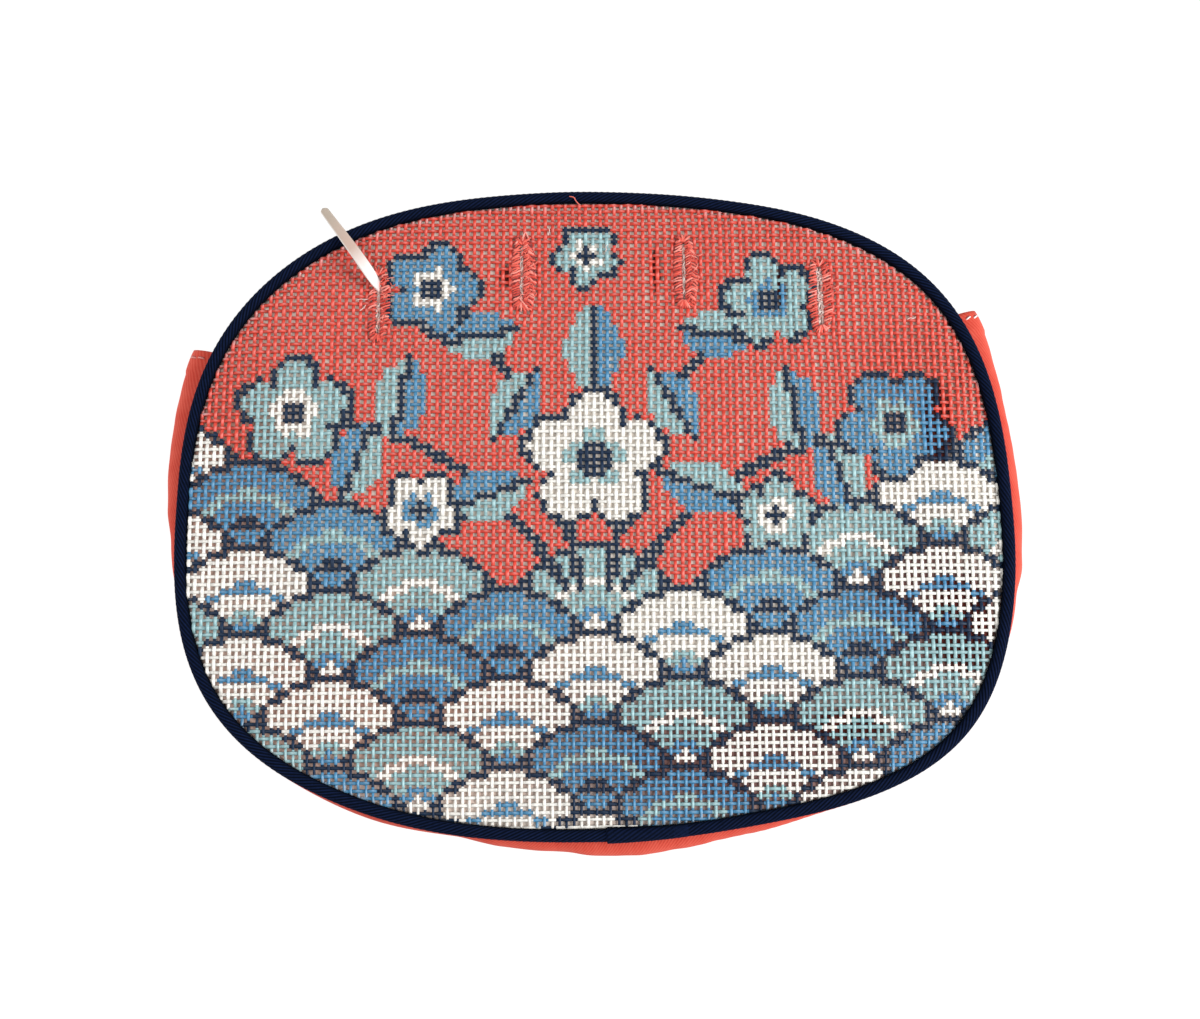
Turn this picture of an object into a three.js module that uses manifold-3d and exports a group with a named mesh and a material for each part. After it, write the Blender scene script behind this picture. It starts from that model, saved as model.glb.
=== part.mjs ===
// A bag cover lying on its back: an oval front of painted needlepoint canvas with four worked
// buttonholes, its lining, a corded piping round the edge, a folded cloth gusset that joins the
// front to a plain cloth back, and a narrow tie through the first buttonhole.
// Millimetres. +Z is up from the surface it lies on, +Y points to the open mouth of the cover.
import * as THREE from "three";
import { mergeVertices } from "three/addons/utils/BufferGeometryUtils.js";
import Module from "manifold-3d";

const wasm = await Module();
wasm.setup();

// Driving dimensions

const SEAM_GAP = 0.3; // between pieces that are sewn or laid together
const FRONT = { width: 295, height: 233, roundness: 2.63, taper: 0.02 }; // over the piping
const RIM = { height: 15.5, mouthDrop: 4 }; // the piping's centre above the surface
const CANVAS = { thickness: 1.6, crown: 2.2, edgeLift: 0.4, roll: 1.5, rollWidth: 6 };
const LINING = { thickness: 1 };
const BACK = { thickness: 1.2, margin: 0.5 }; // margin is past the piping's centreline
const PIPING = { diameter: 4.5, lapDiameter: 5.2, lapLength: 13, lapAngle: 271.6 };
const GUSSET = { thickness: 1.2, hemThickness: 2, hemDepth: 3.4, lipInset: 0.5 };
const HEM_LEAN = { degrees: 0.9, fade: 12 }; // the hems' folds lean away from the mouth
const SLIT = { length: 22, width: 1.8 };
const BUTTONHOLE = { length: 31, width: 8, height: 0.8 };
const TIE = { width: 4.4, tipWidth: 3, thickness: 1, tipLength: 1.7 };

// Where the sewn edge strays from the pattern's oval: how far out, and over how many degrees.
// Angles here and below are in degrees, counted from +X towards +Y.
const EDGE_STRAYS = [
  { angle: -33, out: 2.8, spread: 9 },
  { angle: -62, out: -1.8, spread: 10 },
  { angle: -96, out: 0.4, spread: 12 },
  { angle: -132, out: -1, spread: 9 },
  { angle: -156, out: 0.7, spread: 9 },
  { angle: 145, out: -0.8, spread: 11 },
  { angle: 93, out: 0.6, spread: 8 },
  { angle: 64, out: -0.8, spread: 9 },
  { angle: 34, out: 1.2, spread: 9 },
  { angle: 10, out: -0.6, spread: 8 },
];

// Where the buttonholes' centres lie on the front
const BUTTONHOLES = [
  { x: -77.4, y: 73 },
  { x: -25.8, y: 84.7 },
  { x: 32.8, y: 85.2 },
  { x: 81.8, y: 75.3 },
];

// How far the gusset's fold reaches past the piping, from the left hem round the foot of the
// cover to the right hem.
const GUSSET_FOLD = [
  { angle: 157.5, reach: 8.8 },
  { angle: 165, reach: 7.5 },
  { angle: 173, reach: 6.4 },
  { angle: 180, reach: 5.5 },
  { angle: 185, reach: 3.3 },
  { angle: 193, reach: 1.4 },
  { angle: 206, reach: 0.9 },
  { angle: 222, reach: 0.9 },
  { angle: 234, reach: 1.7 },
  { angle: 247, reach: 0.7 },
  { angle: 254, reach: 2.6 },
  { angle: 262, reach: 3.4 },
  { angle: 271, reach: 5.1 },
  { angle: 277, reach: 5.3 },
  { angle: 284, reach: 4.2 },
  { angle: 295, reach: 2.7 },
  { angle: 308, reach: 0.6 },
  { angle: 321, reach: 0.6 },
  { angle: 335, reach: 0.9 },
  { angle: 347, reach: 2.7 },
  { angle: 351.5, reach: 4.6 },
  { angle: 358, reach: 5.2 },
  { angle: 371, reach: 4.8 },
  { angle: 378, reach: 5.5 },
  { angle: 387.6, reach: 8.2 },
];

// The tie's middle line from behind the lining to its free tip. rise is above the canvas at the
// first buttonhole, and turn is the way across the tie in degrees from +X.
const TIE_ROUTE = [
  { x: -77.4, y: 80, rise: -4.6, turn: 90 },
  { x: -77.4, y: 80, rise: -1.6, turn: 90 },
  { x: -77.5, y: 79.9, rise: 1, turn: 88 },
  { x: -77.7, y: 80, rise: 3.1, turn: 82 },
  { x: -78.4, y: 80.8, rise: 4.7, turn: 70 },
  { x: -79.7, y: 82.7, rise: 5.6, turn: 56 },
  { x: -82, y: 86.2, rise: 5.4, turn: 45 },
  { x: -85, y: 90.7, rise: 4, turn: 39 },
  { x: -88.4, y: 95.7, rise: 1.7, turn: 36 },
  { x: -91.7, y: 100.5, rise: -0.7, turn: 35 },
  { x: -94.7, y: 104.8, rise: -2.8, turn: 34 },
  { x: -98.4, y: 110.2, rise: -5.6, turn: 33 },
];

const RING_SHARES = [0.3, 0.55, 0.74, 0.86, 0.92, 0.96, 0.985, 1]; // of the way to a sheet's edge
const SECTORS = 72;
const FOLD_STEP = 3; // degrees between the gusset's sections
const FOLD_POINTS = 9; // across each section
const PIPING_SIDES = 10;
const PIPING_STEPS = 110;

// The oval: the piping's centreline in plan

const halfWidth = (FRONT.width - PIPING.diameter) / 2;
const halfHeight = (FRONT.height - PIPING.diameter) / 2;

// The oval's radius along a direction, before its sides are tapered towards the mouth.
function radiusAt(angle) {
  const across = Math.abs(Math.cos(angle) / halfWidth) ** FRONT.roundness;
  const along = Math.abs(Math.sin(angle) / halfHeight) ** FRONT.roundness;
  return EDGE_STRAYS.reduce((radius, stray) => {
    const aside = Math.cos(angle - THREE.MathUtils.degToRad(stray.angle)) - 1;
    return radius + stray.out * Math.exp(aside / THREE.MathUtils.degToRad(stray.spread) ** 2);
  }, (across + along) ** (-1 / FRONT.roundness));
}

function taperAt(y) {
  return 1 - (FRONT.taper * y) / halfHeight;
}

function centreline(angle) {
  const radius = radiusAt(angle);
  const y = radius * Math.sin(angle);
  return new THREE.Vector2(radius * Math.cos(angle) * taperAt(y), y);
}

// A point of the oval moved outwards, square to its edge, by outset.
function rimPoint(angle, outset = 0) {
  const step = 1e-3;
  const tangent = centreline(angle + step).sub(centreline(angle - step)).normalize();
  return centreline(angle).add(new THREE.Vector2(tangent.y, -tangent.x).multiplyScalar(outset));
}

// The rim hangs lower along the mouth, where no gusset holds it up.
function rimHeight(angle) {
  return RIM.height - RIM.mouthDrop * Math.max(0, Math.sin(angle)) ** 2;
}

// Height of the canvas's face: crowned in the middle and rolled down along its edge.
function canvasFace(x, y) {
  const untapered = x / taperAt(y);
  const angle = Math.atan2(y, untapered);
  const radius = radiusAt(angle);
  const share = Math.hypot(untapered, y) / radius;
  const inset = radius * (1 - share) - PIPING.diameter / 2;
  const spread = share * share;
  const level = spread * rimHeight(angle) + (1 - spread) * (RIM.height + CANVAS.crown);
  const rolled = CANVAS.roll * (1 - Math.exp(-Math.max(0, inset) / CANVAS.rollWidth));
  return level + CANVAS.edgeLift + rolled;
}

const canvasBack = (x, y) => canvasFace(x, y) - CANVAS.thickness;
const liningFace = (x, y) => canvasBack(x, y) - SEAM_GAP;
const liningBack = (x, y) => liningFace(x, y) - LINING.thickness;

// Closed meshes

// A closed mesh from points and triangles, with its faces turned outwards.
function closedMesh(points, triangles) {
  const geometry = new THREE.BufferGeometry().setFromPoints(points);
  const volume = triangles.reduce((sum, [a, b, c]) => {
    const cross = new THREE.Vector3().crossVectors(points[b], points[c]);
    return sum + points[a].dot(cross);
  }, 0);
  geometry.setIndex(triangles.flatMap(([a, b, c]) => (volume > 0 ? [a, b, c] : [a, c, b])));
  geometry.computeVertexNormals();
  return geometry;
}

// An oval sheet between two heights, its edge set in or out from the piping's centreline.
function ovalSheet(outset, faceAt, backAt, shares) {
  const points = [];
  for (const heightAt of [faceAt, backAt]) {
    points.push(new THREE.Vector3(0, 0, heightAt(0, 0)));
    for (const share of shares) {
      for (let i = 0; i < SECTORS; i++) {
        const { x, y } = rimPoint((2 * Math.PI * i) / SECTORS, outset).multiplyScalar(share);
        points.push(new THREE.Vector3(x, y, heightAt(x, y)));
      }
    }
  }
  const skin = points.length / 2;
  const at = (side, ring, i) => side * skin + 1 + ring * SECTORS + (i % SECTORS);
  const triangles = [];
  const quad = (a, b, c, d) => triangles.push([a, b, c], [a, c, d]);
  const rim = shares.length - 1;
  for (let i = 0; i < SECTORS; i++) {
    triangles.push([0, at(0, 0, i), at(0, 0, i + 1)], [skin, at(1, 0, i + 1), at(1, 0, i)]);
    for (let ring = 0; ring < rim; ring++) {
      quad(at(0, ring, i), at(0, ring + 1, i), at(0, ring + 1, i + 1), at(0, ring, i + 1));
      quad(at(1, ring, i), at(1, ring, i + 1), at(1, ring + 1, i + 1), at(1, ring + 1, i));
    }
    quad(at(0, rim, i), at(1, rim, i), at(1, rim, i + 1), at(0, rim, i + 1));
  }
  return closedMesh(points, triangles);
}

// A strip with two skins: each section has as many points on its outer skin as on its inner one.
function stripSolid(sections) {
  const across = sections[0].outer.length;
  const points = sections.flatMap(({ outer, inner }) => [...outer, ...inner]);
  const at = (section, skin, i) => (section * 2 + skin) * across + i;
  const triangles = [];
  const quad = (a, b, c, d) => triangles.push([a, b, c], [a, c, d]);
  const last = sections.length - 1;
  for (let i = 0; i < across - 1; i++) {
    quad(at(0, 0, i), at(0, 0, i + 1), at(0, 1, i + 1), at(0, 1, i));
    quad(at(last, 0, i), at(last, 1, i), at(last, 1, i + 1), at(last, 0, i + 1));
    for (let s = 0; s < last; s++) {
      quad(at(s, 0, i), at(s + 1, 0, i), at(s + 1, 0, i + 1), at(s, 0, i + 1));
      quad(at(s, 1, i), at(s, 1, i + 1), at(s + 1, 1, i + 1), at(s + 1, 1, i));
    }
  }
  for (let s = 0; s < last; s++) {
    quad(at(s, 0, 0), at(s, 1, 0), at(s + 1, 1, 0), at(s + 1, 0, 0));
    const end = across - 1;
    quad(at(s, 0, end), at(s + 1, 0, end), at(s + 1, 1, end), at(s, 1, end));
  }
  return closedMesh(points, triangles);
}

// Booleans

function toManifold(geometry) {
  const bare = geometry.clone();
  bare.deleteAttribute("normal");
  bare.deleteAttribute("uv");
  const merged = mergeVertices(bare);
  return new wasm.Manifold(
    new wasm.Mesh({
      numProp: 3,
      vertProperties: new Float32Array(merged.attributes.position.array),
      triVerts: new Uint32Array(merged.index.array),
    }),
  );
}

function fromManifold(solid) {
  const { vertProperties, triVerts } = solid.getMesh();
  const geometry = new THREE.BufferGeometry();
  geometry.setAttribute("position", new THREE.BufferAttribute(vertProperties, 3));
  geometry.setIndex(new THREE.BufferAttribute(triVerts, 1));
  geometry.computeVertexNormals();
  return geometry;
}

// A slot outline with round ends, its long way along Y.
function slotOutline(Outline, { x, y }, length, width) {
  const radius = width / 2;
  const reach = length / 2 - radius;
  const outline = new Outline();
  outline.absarc(x, y + reach, radius, 0, Math.PI);
  outline.absarc(x, y - reach, radius, Math.PI, 2 * Math.PI);
  return outline.closePath();
}

function cutSlits(sheet) {
  const slits = BUTTONHOLES.map((centre) => {
    const shape = slotOutline(THREE.Shape, centre, SLIT.length, SLIT.width);
    const prism = new THREE.ExtrudeGeometry(shape, {
      depth: 2 * RIM.height,
      bevelEnabled: false,
      curveSegments: 4,
    });
    return toManifold(prism.translate(0, 0, -1));
  });
  return fromManifold(slits.reduce((solid, slit) => solid.subtract(slit), toManifold(sheet)));
}

// The pieces

const pipingRadius = PIPING.diameter / 2;

function canvasFront() {
  return cutSlits(ovalSheet(-pipingRadius - SEAM_GAP, canvasFace, canvasBack, RING_SHARES));
}

function frontLining() {
  return cutSlits(ovalSheet(-pipingRadius - SEAM_GAP, liningFace, liningBack, RING_SHARES));
}

function backPanel() {
  return cutSlits(ovalSheet(BACK.margin, () => BACK.thickness, () => 0, [1]));
}

// The worked thread round a slit, as one raised band that follows the canvas.
function buttonholeBand(centre) {
  const shape = slotOutline(THREE.Shape, centre, BUTTONHOLE.length, BUTTONHOLE.width);
  shape.holes.push(slotOutline(THREE.Path, centre, SLIT.length, SLIT.width));
  const band = new THREE.ExtrudeGeometry(shape, {
    depth: BUTTONHOLE.height,
    bevelEnabled: false,
    curveSegments: 8,
  });
  const places = band.attributes.position;
  for (let i = 0; i < places.count; i++) {
    const face = canvasFace(places.getX(i), places.getY(i));
    places.setZ(i, places.getZ(i) + face + SEAM_GAP);
  }
  return band;
}

// A round cord along the rim, between two angles.
function rimCord(diameter, from, to, steps) {
  const path = [];
  for (let i = 0; i <= steps; i++) {
    const angle = THREE.MathUtils.degToRad(from + ((to - from) * i) / steps);
    const { x, y } = rimPoint(angle);
    path.push(new THREE.Vector3(x, y, rimHeight(angle)));
  }
  const corners = [];
  for (let i = 0; i < PIPING_SIDES; i++) {
    const turn = (2 * Math.PI * i) / PIPING_SIDES;
    corners.push(new THREE.Vector2(Math.cos(turn), Math.sin(turn)).multiplyScalar(diameter / 2));
  }
  return new THREE.ExtrudeGeometry(new THREE.Shape(corners), {
    steps,
    extrudePath: new THREE.CatmullRomCurve3(path),
    bevelEnabled: false,
  });
}

// The piping's ends meet at the foot of the cover, where one end is lapped over the other.
function piping() {
  const degreesPerMm = 180 / Math.PI / halfHeight;
  const parting = SEAM_GAP * degreesPerMm;
  const { lapAngle, lapLength } = PIPING;
  const cord = rimCord(PIPING.diameter, lapAngle, lapAngle + 360 - parting, PIPING_STEPS);
  const lapEnd = lapAngle + lapLength * degreesPerMm;
  const lap = rimCord(PIPING.lapDiameter, lapAngle, lapEnd, 4);
  return fromManifold(toManifold(cord).add(toManifold(lap)));
}

// How far the gusset's fold reaches past the piping at an angle, eased from row to row.
function foldReach(degrees) {
  const next = GUSSET_FOLD.findIndex((row, i) => i > 0 && degrees <= row.angle);
  const [a, b] = [GUSSET_FOLD[next - 1], GUSSET_FOLD[next]];
  return THREE.MathUtils.lerp(a.reach, b.reach, THREE.MathUtils.smoothstep(degrees, a.angle, b.angle));
}

// How far round a section's outermost point is moved, in degrees, most at the two hems.
function hemLean(degrees) {
  const fadeFrom = (end) => Math.exp(-(((degrees - end) / HEM_LEAN.fade) ** 2));
  return HEM_LEAN.degrees * (fadeFrom(GUSSET_FOLD[0].angle) - fadeFrom(GUSSET_FOLD.at(-1).angle));
}

// One section of the gusset: half an oval that leaves the piping, bulges and turns in to the back.
function gussetSection(degrees, thickness) {
  const angle = THREE.MathUtils.degToRad(degrees);
  const lean = THREE.MathUtils.degToRad(hemLean(degrees));
  const top = rimHeight(angle) - pipingRadius - SEAM_GAP - thickness / 2;
  const foot = BACK.thickness + SEAM_GAP + thickness / 2;
  const middle = (top + foot) / 2;
  const drop = (top - foot) / 2;
  const bulge = pipingRadius + foldReach(degrees) - thickness / 2 + GUSSET.lipInset;
  const outer = [];
  const inner = [];
  for (let i = 0; i < FOLD_POINTS; i++) {
    const turn = (Math.PI * i) / (FOLD_POINTS - 1);
    const square = new THREE.Vector2(drop * Math.sin(turn), bulge * Math.cos(turn)).normalize();
    for (const [skin, side] of [[outer, thickness / 2], [inner, -thickness / 2]]) {
      const out = bulge * Math.sin(turn) - GUSSET.lipInset + side * square.x;
      const { x, y } = rimPoint(angle + lean * Math.sin(turn), out);
      skin.push(new THREE.Vector3(x, y, middle + drop * Math.cos(turn) + side * square.y));
    }
  }
  return { outer, inner };
}

// The gusset runs from hem to hem, and each hem is its own cloth turned in double.
function gusset() {
  const [first, last] = [GUSSET_FOLD[0].angle, GUSSET_FOLD.at(-1).angle];
  const sections = [
    gussetSection(first, GUSSET.hemThickness),
    gussetSection(first + GUSSET.hemDepth, GUSSET.hemThickness),
  ];
  const [from, to] = [first + GUSSET.hemDepth, last - GUSSET.hemDepth];
  const steps = Math.round((to - from) / FOLD_STEP);
  const hemEase = 0.1 * FOLD_STEP;
  for (let i = 0; i <= steps; i++) {
    const plain = THREE.MathUtils.lerp(from + hemEase, to - hemEase, i / steps);
    sections.push(gussetSection(plain, GUSSET.thickness));
  }
  sections.push(
    gussetSection(last - GUSSET.hemDepth, GUSSET.hemThickness),
    gussetSection(last, GUSSET.hemThickness),
  );
  return stripSolid(sections);
}

// A narrow flat tie that comes up through the first slit, bends over the piping and tapers to its tip.
function tie() {
  const level = canvasFace(BUTTONHOLES[0].x, BUTTONHOLES[0].y);
  const route = TIE_ROUTE.map(({ x, y, rise, turn }) => ({
    at: new THREE.Vector3(x, y, level + rise),
    across: new THREE.Vector3(1, 0, 0).applyAxisAngle(
      new THREE.Vector3(0, 0, 1),
      THREE.MathUtils.degToRad(turn),
    ),
  }));
  const tip = route.at(-1);
  const onward = tip.at.clone().sub(route.at(-2).at).setLength(TIE.tipLength);
  const halfWidths = route.map(
    (_, i) => THREE.MathUtils.lerp(TIE.width, TIE.tipWidth, i / (route.length - 1)) / 2,
  );
  for (const turn of [Math.PI / 4, Math.PI / 2.4]) {
    const at = tip.at.clone().addScaledVector(onward, Math.sin(turn));
    route.push({ at, across: tip.across });
    halfWidths.push((TIE.tipWidth / 2) * Math.cos(turn));
  }
  const sections = route.map(({ at, across }, i) => {
    const [before, after] = [route[Math.max(0, i - 1)].at, route[Math.min(route.length - 1, i + 1)].at];
    const along = after.clone().sub(before);
    const square = new THREE.Vector3().crossVectors(along, across).setLength(TIE.thickness / 2);
    const edges = [-1, 0, 1].map((side) => at.clone().addScaledVector(across, side * halfWidths[i]));
    return {
      outer: edges.map((edge) => edge.clone().add(square)),
      inner: edges.map((edge) => edge.clone().sub(square)),
    };
  });
  return stripSolid(sections);
}

// Materials

const cloth = (color, roughness = 0.9) => new THREE.MeshStandardMaterial({ color, roughness, metalness: 0 });
const paintedCanvas = cloth(0xdb5f52, 0.75);
const taupeLining = cloth(0xa08c7e);
const coralTwill = cloth(0xdd5a4b);
const navyTwill = cloth(0x141d33, 0.8);
const coralThread = cloth(0xe0675a, 0.7);
const whiteTie = cloth(0xeae2da, 0.45);

function piece(name, geometry, material) {
  const mesh = new THREE.Mesh(geometry, material);
  mesh.name = name;
  return mesh;
}

const cover = new THREE.Group();
cover.add(
  piece("canvas_front", canvasFront(), paintedCanvas),
  piece("front_lining", frontLining(), taupeLining),
  piece("edge_piping", piping(), navyTwill),
  piece("gusset", gusset(), coralTwill),
  piece("back_panel", backPanel(), coralTwill),
  piece("tie", tie(), whiteTie),
);
BUTTONHOLES.forEach((centre, i) => {
  cover.add(piece(`buttonhole_${i + 1}`, buttonholeBand(centre), coralThread));
});

export default cover;
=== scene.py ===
# %% [markdown]
# # A needlepoint bag cover, sewn in Blender
#
# The cover is cloth through and through: an oval of open needlepoint canvas, painted thread by
# thread and not yet stitched, a lining behind it, a navy piping round its edge, a coral gusset and
# back, four worked buttonholes and a white tie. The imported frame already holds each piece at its
# real size, so this lesson only makes the looks, and puts each one where its solid lies.

# %% Load the frame
import math

import bmesh
import bpy
import numpy as np
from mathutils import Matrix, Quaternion, Vector


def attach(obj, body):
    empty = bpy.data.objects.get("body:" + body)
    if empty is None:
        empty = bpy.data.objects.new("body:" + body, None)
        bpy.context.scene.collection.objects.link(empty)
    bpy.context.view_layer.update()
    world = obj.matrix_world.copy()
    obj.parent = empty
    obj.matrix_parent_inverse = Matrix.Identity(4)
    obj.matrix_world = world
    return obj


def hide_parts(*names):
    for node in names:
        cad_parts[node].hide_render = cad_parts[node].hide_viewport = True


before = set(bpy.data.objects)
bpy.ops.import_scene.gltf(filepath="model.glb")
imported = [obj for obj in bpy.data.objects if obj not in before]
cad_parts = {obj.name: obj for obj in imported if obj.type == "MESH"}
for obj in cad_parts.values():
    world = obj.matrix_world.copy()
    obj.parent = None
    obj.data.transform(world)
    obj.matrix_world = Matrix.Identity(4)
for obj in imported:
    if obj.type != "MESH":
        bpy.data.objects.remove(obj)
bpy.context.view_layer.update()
MM = 0.001

# %% [markdown]
# ## The oval that every piece follows
#
# A maker cuts the front, the lining and the back from one paper pattern. Here that pattern is a
# superellipse: fuller than an ellipse in its corners, and a little narrower towards the mouth. The
# sewn edge strays from it by a millimetre or two, most at the lower right corner. It could be drawn
# as a curve, but a formula gives any piece the same edge, moved in or out.

# %% The pattern, in millimetres
FRONT_WIDTH, FRONT_HEIGHT = 295.0, 233.0
ROUNDNESS = 2.63
TAPER = 0.02
RIM_HEIGHT, MOUTH_DROP = 15.5, 4.0
PIPING_RADIUS = 2.25
HALF_WIDTH = FRONT_WIDTH / 2 - PIPING_RADIUS
HALF_HEIGHT = FRONT_HEIGHT / 2 - PIPING_RADIUS
FULL_TURN = 2 * math.pi
SMALL_TURN = 1e-3
# A stray is an angle in degrees, a size in millimetres outwards and a spread in degrees.
EDGE_STRAYS = [
    (-33, 2.8, 9), (-62, -1.8, 10), (-96, 0.4, 12), (-132, -1.0, 9), (-156, 0.7, 9),
    (145, -0.8, 11), (93, 0.6, 8), (64, -0.8, 9), (34, 1.2, 9), (10, -0.6, 8),
]


def strays(angle, bumps):
    """The sum of soft bumps, each with its own angle, size and spread."""
    total = 0.0 * angle
    for at, size, spread in bumps:
        aside = np.cos(angle - math.radians(at)) - 1
        total = total + size * np.exp(aside / math.radians(spread) ** 2)
    return total


def radius_at(angle):
    across = np.abs(np.cos(angle) / HALF_WIDTH) ** ROUNDNESS
    along = np.abs(np.sin(angle) / HALF_HEIGHT) ** ROUNDNESS
    return (across + along) ** (-1 / ROUNDNESS) + strays(angle, EDGE_STRAYS)


def centreline(angle):
    radius = radius_at(angle)
    y = radius * np.sin(angle)
    return np.array([radius * np.cos(angle) * (1 - TAPER * y / HALF_HEIGHT), y])


def rim_point(angle, outset=0.0):
    """A point on the piping's centreline, moved out square to the edge."""
    tangent = centreline(angle + SMALL_TURN) - centreline(angle - SMALL_TURN)
    tangent = tangent / np.hypot(*tangent)
    return centreline(angle) + outset * np.array([tangent[1], -tangent[0]])


def rim_height(angle):
    """The rim hangs lower along the mouth, where no gusset holds it up."""
    return RIM_HEIGHT - MOUTH_DROP * np.maximum(0, np.sin(angle)) ** 2


print("the piping's centreline is", 2 * HALF_WIDTH, "by", 2 * HALF_HEIGHT, "mm")

# %% [markdown]
# ## How the front lies
#
# The front is held up by the gusset round three sides. It is crowned a little in the middle, hangs
# towards the mouth, and rolls down along its edge where the seam pulls it under the piping. One
# height function serves the canvas, its lining and the buttonholes, so they can't come apart.

# %% The height of the canvas
CROWN = 2.2
EDGE_LIFT = 0.4
ROLL, ROLL_WIDTH = 1.5, 6.0


def oval_place(x, y):
    """A point's distance from the middle and its angle, untapered, and the edge's radius there."""
    untapered = x / (1 - TAPER * y / HALF_HEIGHT)
    angle = np.arctan2(y, untapered)
    return np.hypot(untapered, y), angle, radius_at(angle)


def canvas_face(x, y):
    distance, angle, radius = oval_place(x, y)
    share = distance / radius
    inset = np.maximum(0, radius - distance - PIPING_RADIUS)
    level = share**2 * rim_height(angle) + (1 - share**2) * (RIM_HEIGHT + CROWN)
    return level + EDGE_LIFT + ROLL * (1 - np.exp(-inset / ROLL_WIDTH))


print("the canvas lies", round(float(canvas_face(0.0, 0.0)), 1), "mm up in the middle")

# %% [markdown]
# ## The camera
#
# The cover lies on its back and is looked at from almost straight above, from the side away from
# its mouth. The nearer edge looks larger, which gives the camera's distance, and the front is
# turned a little in the frame, which the camera's roll gives back.

# %% Place the camera
VIEW_TILT = math.radians(9.4)
VIEW_DISTANCE = 520 * MM
VIEW_ROLL = math.radians(0.4)
VIEW_AIM = Vector((1.9, -2.4, 17)) * MM
FRAME_PIXELS_WIDE = 1200
MM_PER_PIXEL = 0.3515
SENSOR_WIDTH = 36
NEAREST_SEEN = 10 * MM


def show(name, data):
    """Puts a new object with this data in the scene."""
    shown = bpy.data.objects.new(name, data)
    bpy.context.scene.collection.objects.link(shown)
    return shown


camera = show("camera", bpy.data.cameras.new("camera"))
camera.data.sensor_width = SENSOR_WIDTH
camera.data.lens = SENSOR_WIDTH * VIEW_DISTANCE / MM / MM_PER_PIXEL / FRAME_PIXELS_WIDE
camera.data.clip_start = NEAREST_SEEN
camera.location = VIEW_AIM + VIEW_DISTANCE * Vector((0, -math.sin(VIEW_TILT), math.cos(VIEW_TILT)))
looking = (VIEW_AIM - camera.location).to_track_quat("-Z", "Y")
camera.rotation_mode = "QUATERNION"
camera.rotation_quaternion = looking @ Quaternion((0, 0, 1), -VIEW_ROLL)
bpy.context.scene.camera = camera
print("lens", round(camera.data.lens, 1), "mm")

# %% [markdown]
# ## Helpers for materials and pieces
#
# Blender's shaders work in linear light, while dye and paint colours are usually noted as sRGB hex
# values, so one function turns them. Another adds a node with its settings, values and links. The
# few patterns that most cloths share are short calls on it, which keeps each recipe to some lines.


# %% Colours and nodes
def linear(hex_colour):
    channels = [int(hex_colour[i : i + 2], 16) / 255 for i in (0, 2, 4)]
    return [c / 12.92 if c <= 0.04045 else ((c + 0.055) / 1.055) ** 2.4 for c in channels] + [1.0]


def add_node(tree, kind, inputs=(), links=(), **settings):
    node = tree.nodes.new(kind)
    for name, value in settings.items():
        setattr(node, name, value)
    for socket, value in dict(inputs).items():
        node.inputs[socket].default_value = value
    for socket, output in dict(links).items():
        tree.links.new(output, node.inputs[socket])
    return node


def new_material(name, **shader_values):
    material = bpy.data.materials.new(name)
    material.use_nodes = True
    shader = material.node_tree.nodes["Principled BSDF"]
    for socket, value in shader_values.items():
        shader.inputs[socket.replace("_", " ")].default_value = value
    return material, material.node_tree, shader


# %% Patterns that most cloths share
NOISE_RANGE = (0.3, 0.7)


def kept(tree, name, output):
    """A value that was kept on the points of the mesh."""
    return add_node(tree, "ShaderNodeAttribute", attribute_name=name).outputs[output]


def noise(tree, grain, detail, roughness=0.5, place=None):
    """Noise with grains of about this size in millimetres, laid on the piece itself."""
    place = place or add_node(tree, "ShaderNodeTexCoord").outputs["Object"]
    values = {"Scale": 1 / (grain * MM), "Detail": detail, "Roughness": roughness}
    return add_node(tree, "ShaderNodeTexNoise", values, {"Vector": place}).outputs["Fac"]


def ramp(tree, value, start, end, low=0, high=1):
    values = {"From Min": start, "From Max": end, "To Min": low, "To Max": high}
    return add_node(tree, "ShaderNodeMapRange", values, {"Value": value}).outputs["Result"]


def mixed(tree, factor, first, second):
    """A colour between two, each of them a hex value or another node's output."""
    colours = {"A": first, "B": second}
    values = {socket: linear(colour) for socket, colour in colours.items() if isinstance(colour, str)}
    links = {socket: colour for socket, colour in colours.items() if socket not in values}
    links["Factor"] = factor
    return add_node(tree, "ShaderNodeMix", values, links, data_type="RGBA").outputs["Result"]


def mottle(tree, shader, layer, grains, low, high):
    """The colour kept on the mesh, made darker and lighter by a noise."""
    links = {0: kept(tree, layer, "Color"), "Scale": ramp(tree, grains, *NOISE_RANGE, low, high)}
    mottled = add_node(tree, "ShaderNodeVectorMath", links=links, operation="SCALE")
    tree.links.new(mottled.outputs["Vector"], shader.inputs["Base Color"])


def relief(tree, shader, height, strength, depth):
    values = {"Strength": strength, "Distance": depth * MM}
    bump = add_node(tree, "ShaderNodeBump", values, {"Height": height})
    tree.links.new(bump.outputs["Normal"], shader.inputs["Normal"])


# %% Pieces
def make_piece(name, mesh, material):
    """An object that rides with the cover and shows one finish, smoothly shaded."""
    mesh.materials.append(material)
    mesh.shade_smooth()
    piece = show(name, mesh)
    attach(piece, "root")
    print(name, "has", len(mesh.polygons), "faces")
    return piece


# %% [markdown]
# ## The chart of the canvas
#
# The canvas is painted one crossing of threads at a time, so its picture is a chart of small
# squares, as in any needlepoint pattern. This one is a generic chart: a bouquet of five-petalled
# blossoms on coral over old overlapping wave scales. Each motif is a short formula in stitches, so
# no picture file is needed, and painting from back to front lets each one cover the one before.

# %% The chart's paints and grid
PITCH = 2.54
WARPS, WEFTS = 113, 89
PAINTS = {"coral": "d64434", "white": "f4f1ea", "aqua": "93b8bc", "blue": "4886ae", "navy": "02223f"}
CORAL, WHITE, AQUA, BLUE, NAVY = range(len(PAINTS))
paint_colours = np.array([linear(colour) for colour in PAINTS.values()])

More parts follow.
